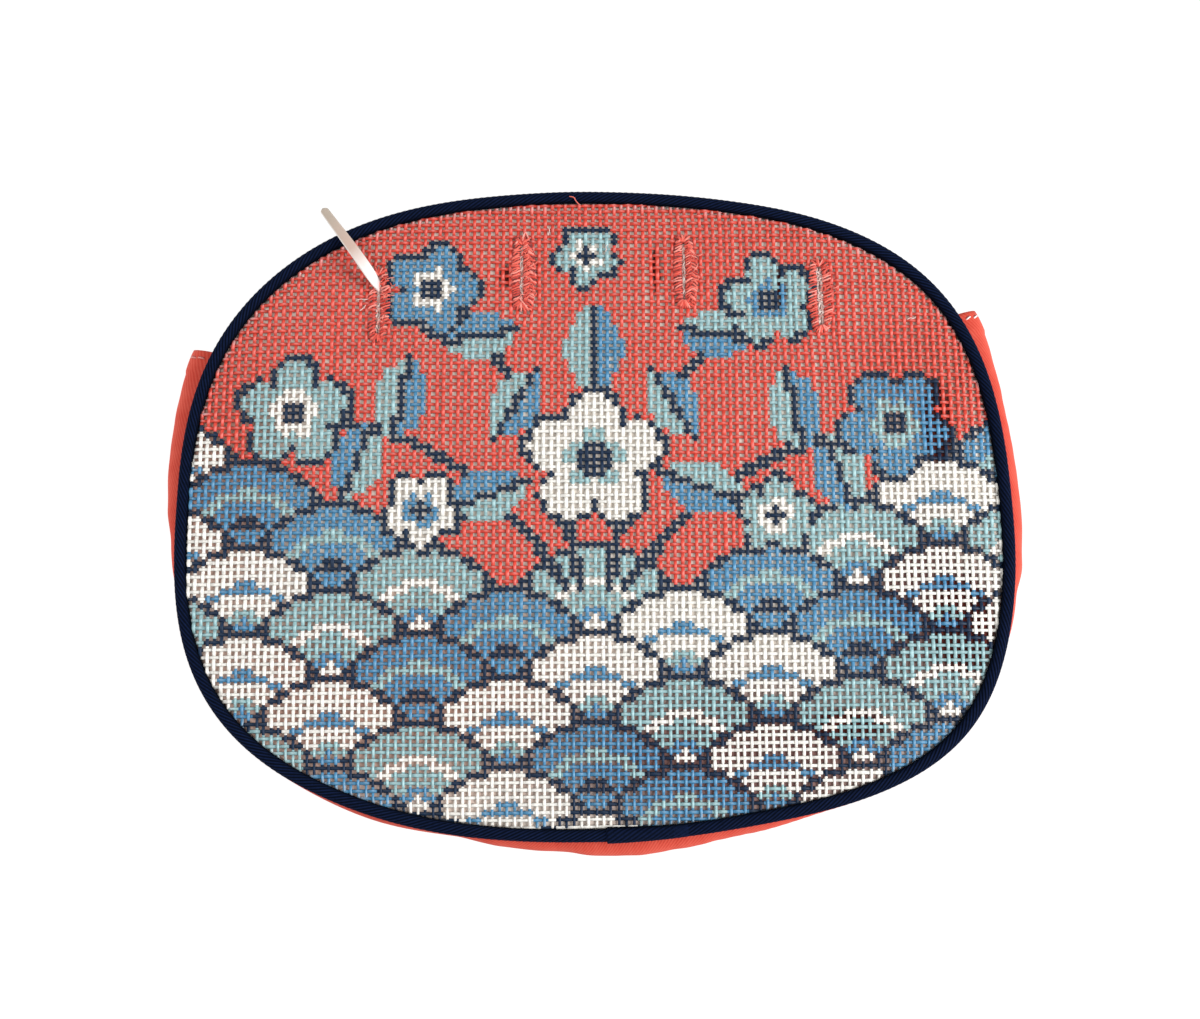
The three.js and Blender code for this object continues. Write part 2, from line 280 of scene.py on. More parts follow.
counts = (np.arange(threads) - threads // 2 for threads in (WARPS, WEFTS))
column, row = np.meshgrid(*counts, indexing="ij")
chart = np.full(column.shape, CORAL)

# %% Wave scales along the foot
SCALE_RADIUS = 12
LOWEST_TIER, TIERS = -54, 11
SCALES_ASIDE = 3
SHORE_ROW, SHORE_RISE = -13, 20
# Each kind of scale is painted inwards, ring by ring, from a radius in stitches.
FOAM = [(12.4, NAVY), (11.4, WHITE), (7.2, BLUE), (6.0, WHITE), (3.6, AQUA), (2.2, BLUE)]
SHALLOW = [(12.4, NAVY), (11.4, AQUA), (7.6, WHITE), (6.2, AQUA), (3.6, BLUE), (2.2, WHITE)]
DEEP = [(12.4, NAVY), (11.4, BLUE), (8.2, AQUA), (6.8, BLUE), (4.2, NAVY), (3.0, BLUE)]
SCALE_ORDER = [FOAM, FOAM, SHALLOW, DEEP, SHALLOW, FOAM, DEEP]
for tier in reversed(range(TIERS)):
    tier_row = LOWEST_TIER + tier * SCALE_RADIUS / 2
    for step in range(-SCALES_ASIDE, SCALES_ASIDE + 1):
        middle = (2 * step + tier % 2) * SCALE_RADIUS
        if tier_row > SHORE_ROW + SHORE_RISE * (middle / (WARPS // 2)) ** 2:
            continue
        reach = np.hypot(column - middle, row - tier_row)
        for within, paint in SCALE_ORDER[(step * 2 + tier * 3) % len(SCALE_ORDER)]:
            chart[reach < within] = paint

# %% Stems
# A stem is a start, a bend and an end.
STEMS = [
    [(-4, -12), (-18, 12), (-42, 12)],
    [(4, -12), (20, 10), (42, 10)],
    [(-2, -12), (-6, 16), (-22, 30)],
    [(2, -12), (6, 18), (24, 28)],
]
STEM_DABS, STEM_HALF = 160, 0.8

for start, bend, end in np.array(STEMS, float):
    for share in np.linspace(0, 1, STEM_DABS):
        x, y = (1 - share) ** 2 * start + 2 * share * (1 - share) * bend + share**2 * end
        chart[np.hypot(column - x, row - y) < STEM_HALF] = NAVY

# %% Leaves
# A leaf is a column, a row, a length and a turn in degrees.
LEAVES = [
    (-15, 1, 13, 200), (-27, 15, 13, 80), (-33, 6, 12, 250), (15, 2, 13, -20), (28, 13, 13, 100),
    (34, 4, 12, -70), (-11, 14, 12, 60), (-16, 24, 11, 190), (11, 14, 12, 120), (17, 24, 11, -10),
    (0, 22, 14, 90),
]
LEAF_FULLNESS, VEIN_HALF = 0.3, 0.55

for leaf_column, leaf_row, length, degrees in LEAVES:
    aside, up, turn = column - leaf_column, row - leaf_row, math.radians(degrees)
    along = aside * math.cos(turn) + up * math.sin(turn)
    across = up * math.cos(turn) - aside * math.sin(turn)
    fullness = LEAF_FULLNESS * length * (1 - (2 * along / length) ** 2)
    chart[np.abs(across) < fullness] = BLUE
    chart[(np.abs(across) < fullness) & (across > 0)] = AQUA
    chart[(np.abs(across) < VEIN_HALF) & (np.abs(along) < length / 2)] = NAVY

# %% Blossoms
# A blossom is a column, a row, a radius, a turn in radians, and the paints of its petals and heart.
BLOSSOMS = [
    (-42, 13, 8.6, 0.3, AQUA, WHITE), (42, 11, 8.6, 0.9, BLUE, AQUA), (-23, 31, 7.6, 0.0, BLUE, WHITE),
    (25, 29, 7.6, 0.5, AQUA, BLUE), (0, 6, 10.5, 0.3, WHITE, AQUA), (-1, 36, 5.4, 0.8, AQUA, WHITE),
    (-24, -1, 6.2, 1.0, WHITE, BLUE), (25, -2, 6.2, 0.2, AQUA, WHITE),
]
PETALS, PETAL_NOTCH, PETAL_FULLNESS = 5, 0.62, 0.6
OUTLINE, HEART_SHARE, EYE_SHARE = 1.1, 0.42, 0.22

for blossom_column, blossom_row, radius, turn, petal, heart in BLOSSOMS:
    aside, up = column - blossom_column, row - blossom_row
    bulge = np.abs(np.cos(PETALS / 2 * (np.arctan2(up, aside) - turn))) ** PETAL_FULLNESS
    petal_edge = radius * (PETAL_NOTCH + (1 - PETAL_NOTCH) * bulge)
    reach = np.hypot(aside, up)
    chart[reach < petal_edge] = NAVY
    chart[reach < petal_edge - OUTLINE] = petal
    chart[reach < HEART_SHARE * petal_edge] = heart
    chart[reach < EYE_SHARE * radius] = NAVY

print({name: int((chart == paint).sum()) for paint, name in enumerate(PAINTS)}, "crossings")

# %% [markdown]
# ## The slits
#
# Four buttonholes are cut between two of the canvas's upright threads. The worked edges pull the
# threads near them to the slit, and push the nearest two aside. The threads' crossings are found
# once, with a seeded wander from place to place, and both sets of threads then pass through them.

# %% Where the crossings lie
SLITS = [
    {"x": -77.4, "y": 73.0, "gap": 1.2, "pitch": 1.3, "rough": 0.7, "packed": False},
    {"x": -25.8, "y": 84.7, "gap": 1.2, "pitch": 0.8, "rough": 0.8, "packed": True},
    {"x": 32.8, "y": 85.2, "gap": 1.1, "pitch": 0.95, "rough": 0.6, "packed": True},
    {"x": 81.8, "y": 75.3, "gap": 2.0, "pitch": 1.15, "rough": 0.4, "packed": False},
]
SLIT_LENGTH = 22.0
PUSH_SHARE, PUSH_WIDTH = 0.28, 4.0
DRIFT_WIDTH = 14.0
SLIT_FADE, DRIFT_FADE = 3.0, 24.0
THREAD_WANDER = 0.08
SLOW_WANDER, WANDER_LENGTH = 0.13, 75.0

wander = np.random.default_rng(11)


def thread_wander(count, along):
    """A small offset for each thread, and a slow wave along it."""
    offset = wander.normal(0, THREAD_WANDER, count)
    phase = wander.uniform(0, FULL_TURN, count)
    return offset[:, None] + SLOW_WANDER * np.sin(FULL_TURN * along / WANDER_LENGTH + phase[:, None])


def past_slit(slit, y):
    """How far a point lies past the nearer end of a slit, or 0 along it."""
    return np.maximum(0, np.abs(y - slit["y"]) - SLIT_LENGTH / 2)


def slit_window(slit, y, fade):
    """1 along a slit, fading smoothly to 0 past its ends."""
    return (1 + np.cos(math.pi * np.minimum(1, past_slit(slit, y) / fade))) / 2


cross_x = column * PITCH + thread_wander(WARPS, row * PITCH)
cross_y = row * PITCH + thread_wander(WEFTS, column.T * PITCH).T
for slit in SLITS:
    gap_middle = (math.floor(slit["x"] / PITCH) + 0.5) * PITCH
    drift = (slit["x"] - gap_middle) * slit_window(slit, cross_y, DRIFT_FADE)
    cross_x = cross_x + drift * np.exp(-(((cross_x - slit["x"]) / DRIFT_WIDTH) ** 2))
    aside = cross_x - slit["x"]
    push = slit_window(slit, cross_y, SLIT_FADE) * np.exp(-((aside / PUSH_WIDTH) ** 2))
    cross_x = cross_x + PUSH_SHARE * slit["gap"] * np.where(aside < 0, -1, 1) * push
print(cross_x.size, "crossings")

# %% [markdown]
# ## Weaving the canvas
#
# The canvas is a plain weave: each thread goes over one and under the next. A texture could only
# paint the mesh, and its holes would never show what lies behind, so every thread is a real tube.
# There are thousands of alike short stretches, so they are made as joined meshes from arrays, with
# a ring of five points on each crossing and each gap. Each face takes the paint of its crossing.

# %% Where the threads end, and how high they lie
CANVAS_THICKNESS = 1.6
EDGE_TUCK = 1.9
EDGE_DIVE, DIVE_WIDTH = 1.7, 1.1
EDGE_RISES = [(186, 1.1, 14), (40, -0.5, 12), (262, -0.7, 26)]
RISE_WIDTH = 7.0
EDGE_STEPS = 2880

edge_x, edge_y = rim_point(np.linspace(0, FULL_TURN, EDGE_STEPS + 1), -EDGE_TUCK)


def edge_span(position, positions, spans):
    """Where a straight thread meets the two sides of the canvas's edge."""
    crossing = np.where(np.diff(np.sign(positions - position)) != 0)[0]
    share = (position - positions[crossing]) / (positions[crossing + 1] - positions[crossing])
    hits = spans[crossing] + share * (spans[crossing + 1] - spans[crossing])
    return (hits.min(), hits.max()) if len(hits) > 1 else None


def rim_inset(x, y):
    """How far inside the piping's centreline a point lies, and its angle round the oval."""
    distance, angle, radius = oval_place(x, y)
    change = radius_at(angle + SMALL_TURN) - radius_at(angle - SMALL_TURN)
    slope = change / (2 * SMALL_TURN * radius)
    return (radius - distance) / np.sqrt(1 + slope**2), angle


def canvas_middle(x, y):
    """The middle of the canvas's thickness, which rolls over and down beside the piping."""
    inset, angle = rim_inset(x, y)
    inset = np.maximum(0, inset - EDGE_TUCK)
    rise = strays(angle, EDGE_RISES) * np.exp(-((inset / RISE_WIDTH) ** 2))
    rolled = np.clip(1 - inset / DIVE_WIDTH, 0, 1)
    dive = EDGE_DIVE * (1 - np.sqrt(1 - rolled**2))
    return canvas_face(x, y) - CANVAS_THICKNESS / 2 + rise - dive


# %% The runs of thread
WEFT, WARP = 0, 1
THREAD_WIDTH = (1.2, 1.28)
ROLL_ROOM = (DIVE_WIDTH / 2, DIVE_WIDTH)
DIVE_STEPS = np.array([0.85, 0.5, 0.2, 0.0])
WEAVE_RISE = 0.3
# Crests are painted lighter as painted highlight, and gaps and stretches under a crossing darker as painted
# shade.
CREST_TINT, GAP_TINT, UNDER_TINT = 1.06, 0.9, 0.78
# How far the crests are paled towards white, for each paint: partly paint lying thin there, partly
# painted highlight. The ends at the rim are paled more, as rubbed paint and painted highlight.
THIN_PAINT_AND_HIGHLIGHT = np.array([0.06, 0.0, 0.05, 0.045, 0.006])
RUBBED_AND_LIT = 2.5


def edge_end(point, stop, inward, along):
    """The points where a thread rolls over into the seam, the outermost one last."""
    end = np.repeat([point], len(DIVE_STEPS), axis=0)
    end[:, along] = stop + inward * DIVE_STEPS * DIVE_WIDTH
    return end


def thread_run(points, rises, paints, before, after):
    """Rings along one run of thread: its first end, each crossing and gap, and its last end."""
    count = 2 * len(points) - 1
    middle = np.empty((count, 2))
    middle[0::2], middle[1::2] = points, (points[:-1] + points[1:]) / 2
    lift, tints, pale_and_lit = np.zeros(count), np.full(count, GAP_TINT), np.zeros(count)
    lift[0::2] = rises
    tints[0::2] = np.where(rises > 0, CREST_TINT, UNDER_TINT)
    pale_and_lit[0::2] = np.where(rises > 0, THIN_PAINT_AND_HIGHLIGHT[paints], 0)
    ends = (len(before), len(after))
    return {
        "rings": np.vstack([before, middle, after]),
        "lift": np.pad(lift, ends),
        "tints": np.pad(tints, ends, constant_values=1),
        "pale_and_lit": np.pad(pale_and_lit, ends, constant_values=tuple(RUBBED_AND_LIT * THIN_PAINT_AND_HIGHLIGHT[paints[[0, -1]]])),
        "paints": np.pad(np.repeat(paints, 2), (ends[0] - 1, ends[1] - 1), mode="edge"),
    }


def thread_runs(along):
    """The runs of all threads along one axis, cut at the edge and, for the wefts, at the slits."""
    x, y, paints = (cross_x, cross_y, chart) if along == WARP else (cross_x.T, cross_y.T, chart.T)
    rise = WEAVE_RISE if along == WARP else -WEAVE_RISE
    edge = (edge_x, edge_y)
    for k in range(len(x)):
        points = np.column_stack([x[k], y[k]])
        position = points[len(points) // 2, 1 - along]
        span = edge_span(position, edge[1 - along], edge[along])
        if span is None:
            continue
        stops = list(span)
        for slit in SLITS:
            if along == WEFT and abs(position - slit["y"]) < SLIT_LENGTH / 2:
                stops[-1:-1] = [slit["x"] - slit["gap"] / 2, slit["x"] + slit["gap"] / 2]
        rises = np.where((k + np.arange(len(points))) % 2 == 0, rise, -rise)
        reach = points[:, along]
        for low, high in zip(stops[0::2], stops[1::2]):
            inside = (reach > low + ROLL_ROOM[along]) & (reach < high - ROLL_ROOM[along])
            if inside.any():
                held = points[inside]
                before = edge_end(held[0], low, 1, along)[::-1]
                after = edge_end(held[-1], high, -1, along)
                yield k, thread_run(held, rises[inside], paints[k][inside], before, after)


# %% The shape of one thread
THREAD_HEIGHT = 0.62
SECTION = np.array([(-0.5, 0.0), (-0.33, 0.4), (0.33, 0.4), (0.5, 0.0), (0, -0.5)])
SIDES = len(SECTION)
SLIM_SHARE, SLIM_FROM, SLIM_TO = 0.22, 50.0, 95.0
WIDTH_WANDER = 0.05


def smooth_step(value, low, high):
    share = np.clip((value - low) / (high - low), 0, 1)
    return share * share * (3 - 2 * share)


def thread_body(run, along):
    """Five points round each ring. The width wanders, and the warps are slimmer towards the foot."""
    rings = run["rings"]
    width = THREAD_WIDTH[along] * wander.normal(1, WIDTH_WANDER)
    width = width * wander.normal(1, WIDTH_WANDER, len(rings))
    if along == WARP:
        width = width * (1 - SLIM_SHARE * smooth_step(-rings[:, 1], SLIM_FROM, SLIM_TO))
    body = np.zeros((len(rings), SIDES, 3))
    body[:, :, :2] = rings[:, None, :]
    body[:, :, 1 - along] += SECTION[None, :, 0] * width[:, None]
    height = canvas_middle(rings[:, 0], rings[:, 1]) + run["lift"]
    body[:, :, 2] = height[:, None] + SECTION[None, :, 1] * THREAD_HEIGHT
    return body.reshape(-1, 3)


# %% The paint of one thread
# The warps are painted lighter than the wefts, and each thread's sides and underside darker, as painted
# highlight and shade. One side of each thread's top is paled most, as a painted highlight.
THREAD_TINT, TINT_WANDER = (0.9, 1.07), 0.06
SECTION_TINTS = np.array([0.76, 0.96, 1.04, 0.84, 0.7])
SECTION_HIGHLIGHT = np.array([0.0, 0.2, 3.4, 1.4, 0.0])


def face_corners(values):
    """Values on rings of points, as they fall on the four corners of each face between the rings."""
    turned = np.roll(values, -1, axis=1)
    return np.stack([values[:-1], turned[:-1], turned[1:], values[1:]], -1)[..., None]


def thread_paint(run, along):
    """The colours of each face's corners, and of the two ends."""
    tint = wander.normal(THREAD_TINT[along], TINT_WANDER, (len(run["rings"]) - 1, 1))
    shade = paint_colours[run["paints"], :3] * tint
    colour = shade[:, None, None, :] * face_corners(run["tints"][:, None] * SECTION_TINTS)
    pale_and_lit = face_corners(run["pale_and_lit"][:, None] * SECTION_HIGHLIGHT)
    return colour + pale_and_lit * (1 - colour), shade[[0, -1]]


# %% A UV map for the threads
# Each thread has a strip of the map, with a margin round its sides and a spot for each end.
SIDE_MARGIN, END_MARGIN, UV_REACH = 0.06, 0.02, 1.02
CAP_OFFSET, CAP_WIDTH, CAP_HEIGHT = 0.0018, 0.4, 0.002


def thread_uv(index, run, along):
    """The places of each face's corners, and the spots of the two ends, on one thread's strip."""
    thread_count = cross_x.shape[1 - along]
    half_length = UV_REACH * (HALF_WIDTH, HALF_HEIGHT)[along]
    share = run["rings"][:, along] / half_length * 0.5 + 0.5
    v = END_MARGIN + (1 - 2 * END_MARGIN) * share
    corner_v = v[np.add.outer(np.arange(len(v) - 1), [0, 0, 1, 1])][:, None, :]
    side_share = np.add.outer(np.arange(SIDES), [0, 1, 1, 0]) / SIDES
    side_u = SIDE_MARGIN + (1 - 2 * SIDE_MARGIN) * side_share
    corners = np.stack(np.broadcast_arrays((index + side_u) / thread_count, corner_v), -1)
    cap_u = (index + 0.5 + CAP_WIDTH * SECTION[:, 0]) / thread_count
    cap_v = CAP_HEIGHT * SECTION[:, 1]
    ends = (v[0] - CAP_OFFSET, v[-1] + CAP_OFFSET)
    return corners, [np.column_stack([cap_u, end + cap_v]) for end in ends]


# %% Threads to meshes
def tube_faces(start, count, sides):
    """The four corners of each face between the rings of a tube."""
    ring = start + sides * np.arange(count - 1)[:, None] + np.arange(sides)
    beside = np.roll(ring, -1, axis=1)
    return np.stack([ring, beside, beside + sides, ring + sides], -1)


def weave_mesh(name, along):
    """All the threads that run one way, as one mesh with its paint and its UV map."""
    points, faces, colours, uvs = [], [], [], []
    start = 0
    for index, run in thread_runs(along):
        count = len(run["rings"])
        points.append(thread_body(run, along))
        colour, cap_colours = thread_paint(run, along)
        uv, cap_uvs = thread_uv(index, run, along)
        quads = tube_faces(start, count, SIDES)
        if along == WEFT:
            quads, colour, uv = quads[:, :, ::-1], colour[:, :, ::-1], uv[:, :, ::-1]
        faces.extend(quads.reshape(-1, 4).tolist())
        colours.append(colour.reshape(-1, 3))
        uvs.append(uv.reshape(-1, 2))
        for k, ring in enumerate((0, count - 1)):
            turned = (k == 0) == (along == WARP)
            order = np.arange(SIDES)[::-1] if turned else np.arange(SIDES)
            faces.append((start + ring * SIDES + order).tolist())
            colours.append(np.repeat(cap_colours[k : k + 1], SIDES, axis=0))
            uvs.append(cap_uvs[k][order])
        start += count * SIDES
    mesh = bpy.data.meshes.new(name)
    mesh.from_pydata(np.concatenate(points) * MM, [], faces)
    paint = mesh.color_attributes.new("paint", "FLOAT_COLOR", "CORNER")
    flat = np.ones((sum(map(len, colours)), 4), np.float32)
    flat[:, :3] = np.concatenate(colours)
    paint.data.foreach_set("color", flat.ravel())
    bake_uv = np.concatenate(uvs).astype(np.float32)
    mesh.uv_layers.new(name="OFBake").data.foreach_set("uv", bake_uv.ravel())
    return mesh


# %% [markdown]
# ## Painted cotton thread
#
# Canvas thread is cotton, stiffened with size and then painted with thin acrylic. That gives it a
# dry but slightly slick surface with a soft highlight on the crests. The paint kept on the threads is
# also paled along one side of each crest, partly thin paint and partly painted highlight, and darkened
# below, as painted shade. Blotches in the paint and fine fibres keep it from looking wet.

# %% The canvas's finish and its threads
painted_cotton, tree, shader = new_material(
    "acrylic_painted_cotton_canvas", Roughness=0.5, Specular_IOR_Level=0.3
)
blotches = noise(tree, grain=1.1, detail=4, roughness=0.7)
mottle(tree, shader, "paint", blotches, low=0.74, high=1.22)
relief(tree, shader, noise(tree, grain=0.4, detail=2), strength=0.35, depth=0.12)

warp = make_piece("canvas_warp", weave_mesh("canvas_warp", WARP), painted_cotton)
weft = make_piece("canvas_weft", weave_mesh("canvas_weft", WEFT), painted_cotton)
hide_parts("canvas_front")

# %% [markdown]
# ## Sheets cut to the oval
#
# The lining and the back are plain sheets of that same oval. A disc of triangles would crowd its
# points in the middle, so each starts as a square grid from an operator and is rounded: the square
# is pressed to a disc, and the disc stretched to the oval's edge.

# %% An oval grid with slits
CUT_MARGIN = Vector((4, 4, 0)) * MM


def new_grid(columns, rows, size=1):
    bm = bmesh.new()
    bmesh.ops.create_grid(bm, x_segments=columns, y_segments=rows, size=size)
    return bm


def oval_grid(cells, outset, height):
    bm = new_grid(*cells)
    for vert in bm.verts:
        u, v, _ = vert.co
        x, y = u * math.sqrt(1 - v * v / 2), v * math.sqrt(1 - u * u / 2)
        x, y = rim_point(math.atan2(y, x), outset) * math.hypot(x, y)
        vert.co = Vector((x, y, height(x, y))) * MM
    return bm


def faces_within(bm, middle, half):
    offsets = [(face, face.calc_center_median() - middle) for face in bm.faces]
    return [face for face, offset in offsets if abs(offset.x) < half.x and abs(offset.y) < half.y]


def cut_slits(bm, width):
    """Cuts each slit's outline into the faces near it, and takes out what lies inside."""
    for slit in SLITS:
        middle = Vector((slit["x"], slit["y"], 0)) * MM
        half = Vector((width / 2, SLIT_LENGTH / 2, 0)) * MM
        for normal in map(Vector, ((1, 0, 0), (-1, 0, 0), (0, 1, 0), (0, -1, 0))):
            near = faces_within(bm, middle, half + CUT_MARGIN)
            parts = near + list({edge for face in near for edge in face.edges})
            parts += list({vert for face in near for vert in face.verts})
            bmesh.ops.bisect_plane(bm, geom=parts, plane_co=middle + half * normal, plane_no=normal)
        bmesh.ops.delete(bm, geom=faces_within(bm, middle, half), context="FACES")
    return bm


def sheet_mesh(name, bm):
    bmesh.ops.recalc_face_normals(bm, faces=bm.faces)
    mesh = bpy.data.meshes.new(name)
    bm.to_mesh(mesh)
    bm.free()
    return mesh


def thicken(piece, thickness, offset):
    """Gives a sheet its thickness, on one side of it (-1) or half on each (0)."""
    wall = piece.modifiers.new("wall", "SOLIDIFY")
    wall.thickness = thickness * MM
    wall.offset = offset
    return wall


# %% [markdown]
# ## The lining behind the canvas
#
# Through the open mesh one sees the cloth behind. It is pale in the middle, where it touches the
# mesh, and painted browner or dusky at the sides and foot, as shade where it hangs away. A few patches
# are painted near black, as the shadow deep in the cover, and the band along the rim is the piping's
# seam allowance, darkened further as painted shade. The tint is kept on the sheet's own points, and a
# fine noise keeps it from looking printed. Brushed cotton has no shine at all.

# %% The lining's tint
# The pale cloth, tints of painted shade and shadow, the frayed cloth by the slits, and the seam band.
LINING_TINTS = {
    "pale": "f2e7db",
    "brown": "c89f90",
    "dusk": "86625d",
    "deep": "5c261f",
    "frayed": "e4d3ca",
    "seam": "0c101a",
}
PATCH_FADE = {"brown": (0.3, 1.2), "dusk": (0.3, 1.2), "deep": (0.8, 1.2)}
# Patches of painted shade, where the lining hangs away from the mesh.
# Each patch is a soft oval: its middle, its half width and half height, all in millimetres.
SHADES = [
    (-132, 10, 34, 60, "brown"), (-74, -66, 95, 50, "brown"), (48, -88, 90, 36, "dusk"),
    (116, -38, 36, 42, "dusk"), (118, 46, 32, 30, "brown"),
]
# Patches painted near black, as the shadow deep inside the cover where nothing lies close behind.
SHADOW_PATCHES = [
    (-31.5, 83.9, 2.6, 5.0, "deep"), (23, 86, 2.0, 9.5, "deep"), (68, 79, 2.0, 9.5, "deep"),
    (122, 28, 6.0, 17.0, "deep"), (128, -44, 12.0, 18.0, "deep"), (87, -78, 14.0, 6.0, "deep"),
]
FRAYED_REACH = (1.5, 3.0)
SEAM_SHADE_REACH = (1.2, 2.3)

lining_tints = {name: np.array(linear(colour)) for name, colour in LINING_TINTS.items()}


def patch_layer(patch, x, y):
    middle_x, middle_y, half_width, half_height, name = patch
    reach = math.hypot((x - middle_x) / half_width, (y - middle_y) / half_height)
    return name, 1 - smooth_step(reach, *PATCH_FADE[name])


def lining_tint(x, y):
    """The tint at one place, where each layer covers a share of what is under it."""
    layers = [patch_layer(patch, x, y) for patch in SHADES]
    for slit in SLITS:
        beside = math.hypot(x - slit["x"], past_slit(slit, y))
        layers.append(("frayed", 1 - smooth_step(beside, *FRAYED_REACH)))
    layers += [patch_layer(patch, x, y) for patch in SHADOW_PATCHES]
    # The band along the rim is the piping's seam allowance, darkened as painted shade.
    layers.append(("seam", 1 - smooth_step(rim_inset(x, y)[0], *SEAM_SHADE_REACH)))
    tint = lining_tints["pale"]
    for name, share in layers:
        tint = tint + (lining_tints[name] - tint) * share
    return tint


# %% The lining's sheet
LINING_CELLS = (170, 136)
LINING_THICKNESS = 1.0
LINING_TUCK, LINING_GAP, LINING_SLIT = 0.8, 0.08, 0.25


def lining_face(x, y):
    return float(canvas_middle(x, y)) - WEAVE_RISE - THREAD_HEIGHT / 2 - LINING_GAP


bm = cut_slits(oval_grid(LINING_CELLS, -LINING_TUCK, lining_face), LINING_SLIT)
lining_mesh = sheet_mesh("lining", bm)
tint_layer = lining_mesh.color_attributes.new("tint", "FLOAT_COLOR", "POINT")
for vert, tint in zip(lining_mesh.vertices, tint_layer.data):
    tint.color = lining_tint(vert.co.x / MM, vert.co.y / MM)

brushed_cotton, tree, shader = new_material(
    "brushed_cotton_lining", Roughness=0.9, Specular_IOR_Level=0.2
)
mottle(tree, shader, "tint", noise(tree, grain=3, detail=4), low=0.75, high=1.15)
lining = make_piece("lining", lining_mesh, brushed_cotton)
thicken(lining, LINING_THICKNESS, -1)
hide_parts("front_lining")

# %% [markdown]
# ## Twill cloth
#
# The gusset and back are cotton twill, whose weft steps sideways row by row and leaves fine slanted
# ribs, darker between them and paler where the cloth is worn. The ribs are drawn on the cloth's own
# UV map, in metres of cloth, so that they bend with every fold. The real ones are finer than a
# pixel, so they are drawn a little coarser, to show at all.

# %% Coral twill
TWILL_SPACING = 0.9
TWILL_TURN = math.radians(68)
# At scale 1 a wave node draws a band every 2 pi / 20 units, and at this scale every unit.
WAVE_SCALE = FULL_TURN / 20
RIB_SHARE, WEAR_SHARE, PAINTED_LIGHT_SHARE = 0.32, 0.8, 0.4
UNWORN = -0.25


def weighted(tree, value, weight, more, **settings):
    """A value times a weight, plus a number or another node's output."""
    values, links = {1: weight}, {0: value}
    added = values if isinstance(more, float) else links
    added[2] = more
    node = add_node(tree, "ShaderNodeMath", values, links, operation="MULTIPLY_ADD", **settings)
    return node.outputs["Value"]


coral_twill, tree, shader = new_material("coral_cotton_twill", Roughness=0.78, Specular_IOR_Level=0.15)
cloth = add_node(tree, "ShaderNodeUVMap", uv_map="cloth").outputs["UV"]
turned = add_node(
    tree,
    "ShaderNodeMapping",
    inputs={"Rotation": (0, 0, TWILL_TURN), "Scale": (1 / (TWILL_SPACING * MM),) * 3},
    links={"Vector": cloth},
)
ribs = add_node(
    tree,
    "ShaderNodeTexWave",
    inputs={"Scale": WAVE_SCALE, "Distortion": 0.6, "Detail": 1, "Detail Scale": 2},
    links={"Vector": turned.outputs["Vector"]},
).outputs["Fac"]
wear_and_light = weighted(tree, noise(tree, grain=9, detail=5, roughness=0.65, place=cloth), WEAR_SHARE, UNWORN)
ribbed = weighted(tree, ribs, RIB_SHARE, wear_and_light)
# The gusset is paler on its outer face and darker near the piping, as painted light and shade.
paler = weighted(tree, kept(tree, "painted_light", "Fac"), PAINTED_LIGHT_SHARE, ribbed, use_clamp=True)
tree.links.new(mixed(tree, paler, "bf3627", "e36a59"), shader.inputs["Base Color"])
relief(tree, shader, ribs, strength=0.5, depth=0.12)
print("twill ribs every", TWILL_SPACING, "mm")

# %% [markdown]
# ## The piping
#
# Piping is a bias strip folded over a cord and caught in the seam. Cut on the bias, its twill ribs
# wind round the cord, so here they are real ridges: a grid whose columns run along the ridges is
# rolled into a tube and joined to itself. The ridges are drawn coarser than the real ones, so that
# they show. The strip's two ends lap at the foot, where the upper one is folded square.

# %% The rim's length
RIM_STEPS = 7200


def walked(line):
    """How far along a line of points each one is."""
    return np.concatenate([[0], np.cumsum(np.linalg.norm(np.diff(line, axis=0), axis=1))])


rim_angles = np.linspace(0, FULL_TURN, RIM_STEPS + 1)
rim_lengths = walked(np.column_stack([*centreline(rim_angles), rim_height(rim_angles)]))
RIM_LENGTH = float(rim_lengths[-1])


def cord_point(length, turn, radius):
    """A point round the piping's cord: turn 0 faces outwards and a quarter turn faces up."""
    angle = np.interp(np.mod(length, RIM_LENGTH), rim_lengths, rim_angles)
    x, y = rim_point(angle, radius * math.cos(turn))
    return Vector((x, y, rim_height(angle) + radius * math.sin(turn))) * MM


# %% The piping's tube
RIDGE_STEP, RIDGE_TURNS = 2.2, 11
COLUMNS_PER_RIDGE, PIPING_SIDES = 6, 16
RIDGE_HEIGHT, RIDGE_SHARPNESS = 0.3, 3
# Where the piping's flank beside the canvas is darkened as painted shade.
INNER_SHADE_FADE = (0.6, 1.0)
WELD = 0.01 * MM


def ridge_share(columns):
    """1 on a ridge's crest and 0 in the groove beside it."""
    return abs(math.cos(math.pi * columns / COLUMNS_PER_RIDGE))


def lit_share(turn_share):
    """1 on the outer and upper face, and 0 down beside the canvas, where the dye is darkened as painted
    shade.
    """
    return 1 - float(smooth_step(-math.cos(FULL_TURN * turn_share), *INNER_SHADE_FADE))


def ridged_tube(name, columns, sides, profile):
    """A tube round the cord: profile gives a point's place along it, its ridge and its radius."""
    bm = new_grid(columns, sides)
    ridge_layer = bm.verts.layers.float.new("ridge")
    for vert in bm.verts:
        turn_share = (vert.co.y + 1) / 2
        length, ridge, radius = profile(round((vert.co.x + 1) / 2 * columns), turn_share)
        vert[ridge_layer] = ridge**RIDGE_SHARPNESS * lit_share(turn_share)
        vert.co = cord_point(length, turn_share * FULL_TURN, radius)
    bmesh.ops.remove_doubles(bm, verts=bm.verts, dist=WELD)
    return sheet_mesh(name, bm)


ridge_count = round(RIM_LENGTH / RIDGE_STEP)
rim_columns = ridge_count * COLUMNS_PER_RIDGE
column_step = RIM_LENGTH / rim_columns
slant = RIDGE_TURNS * COLUMNS_PER_RIDGE * column_step


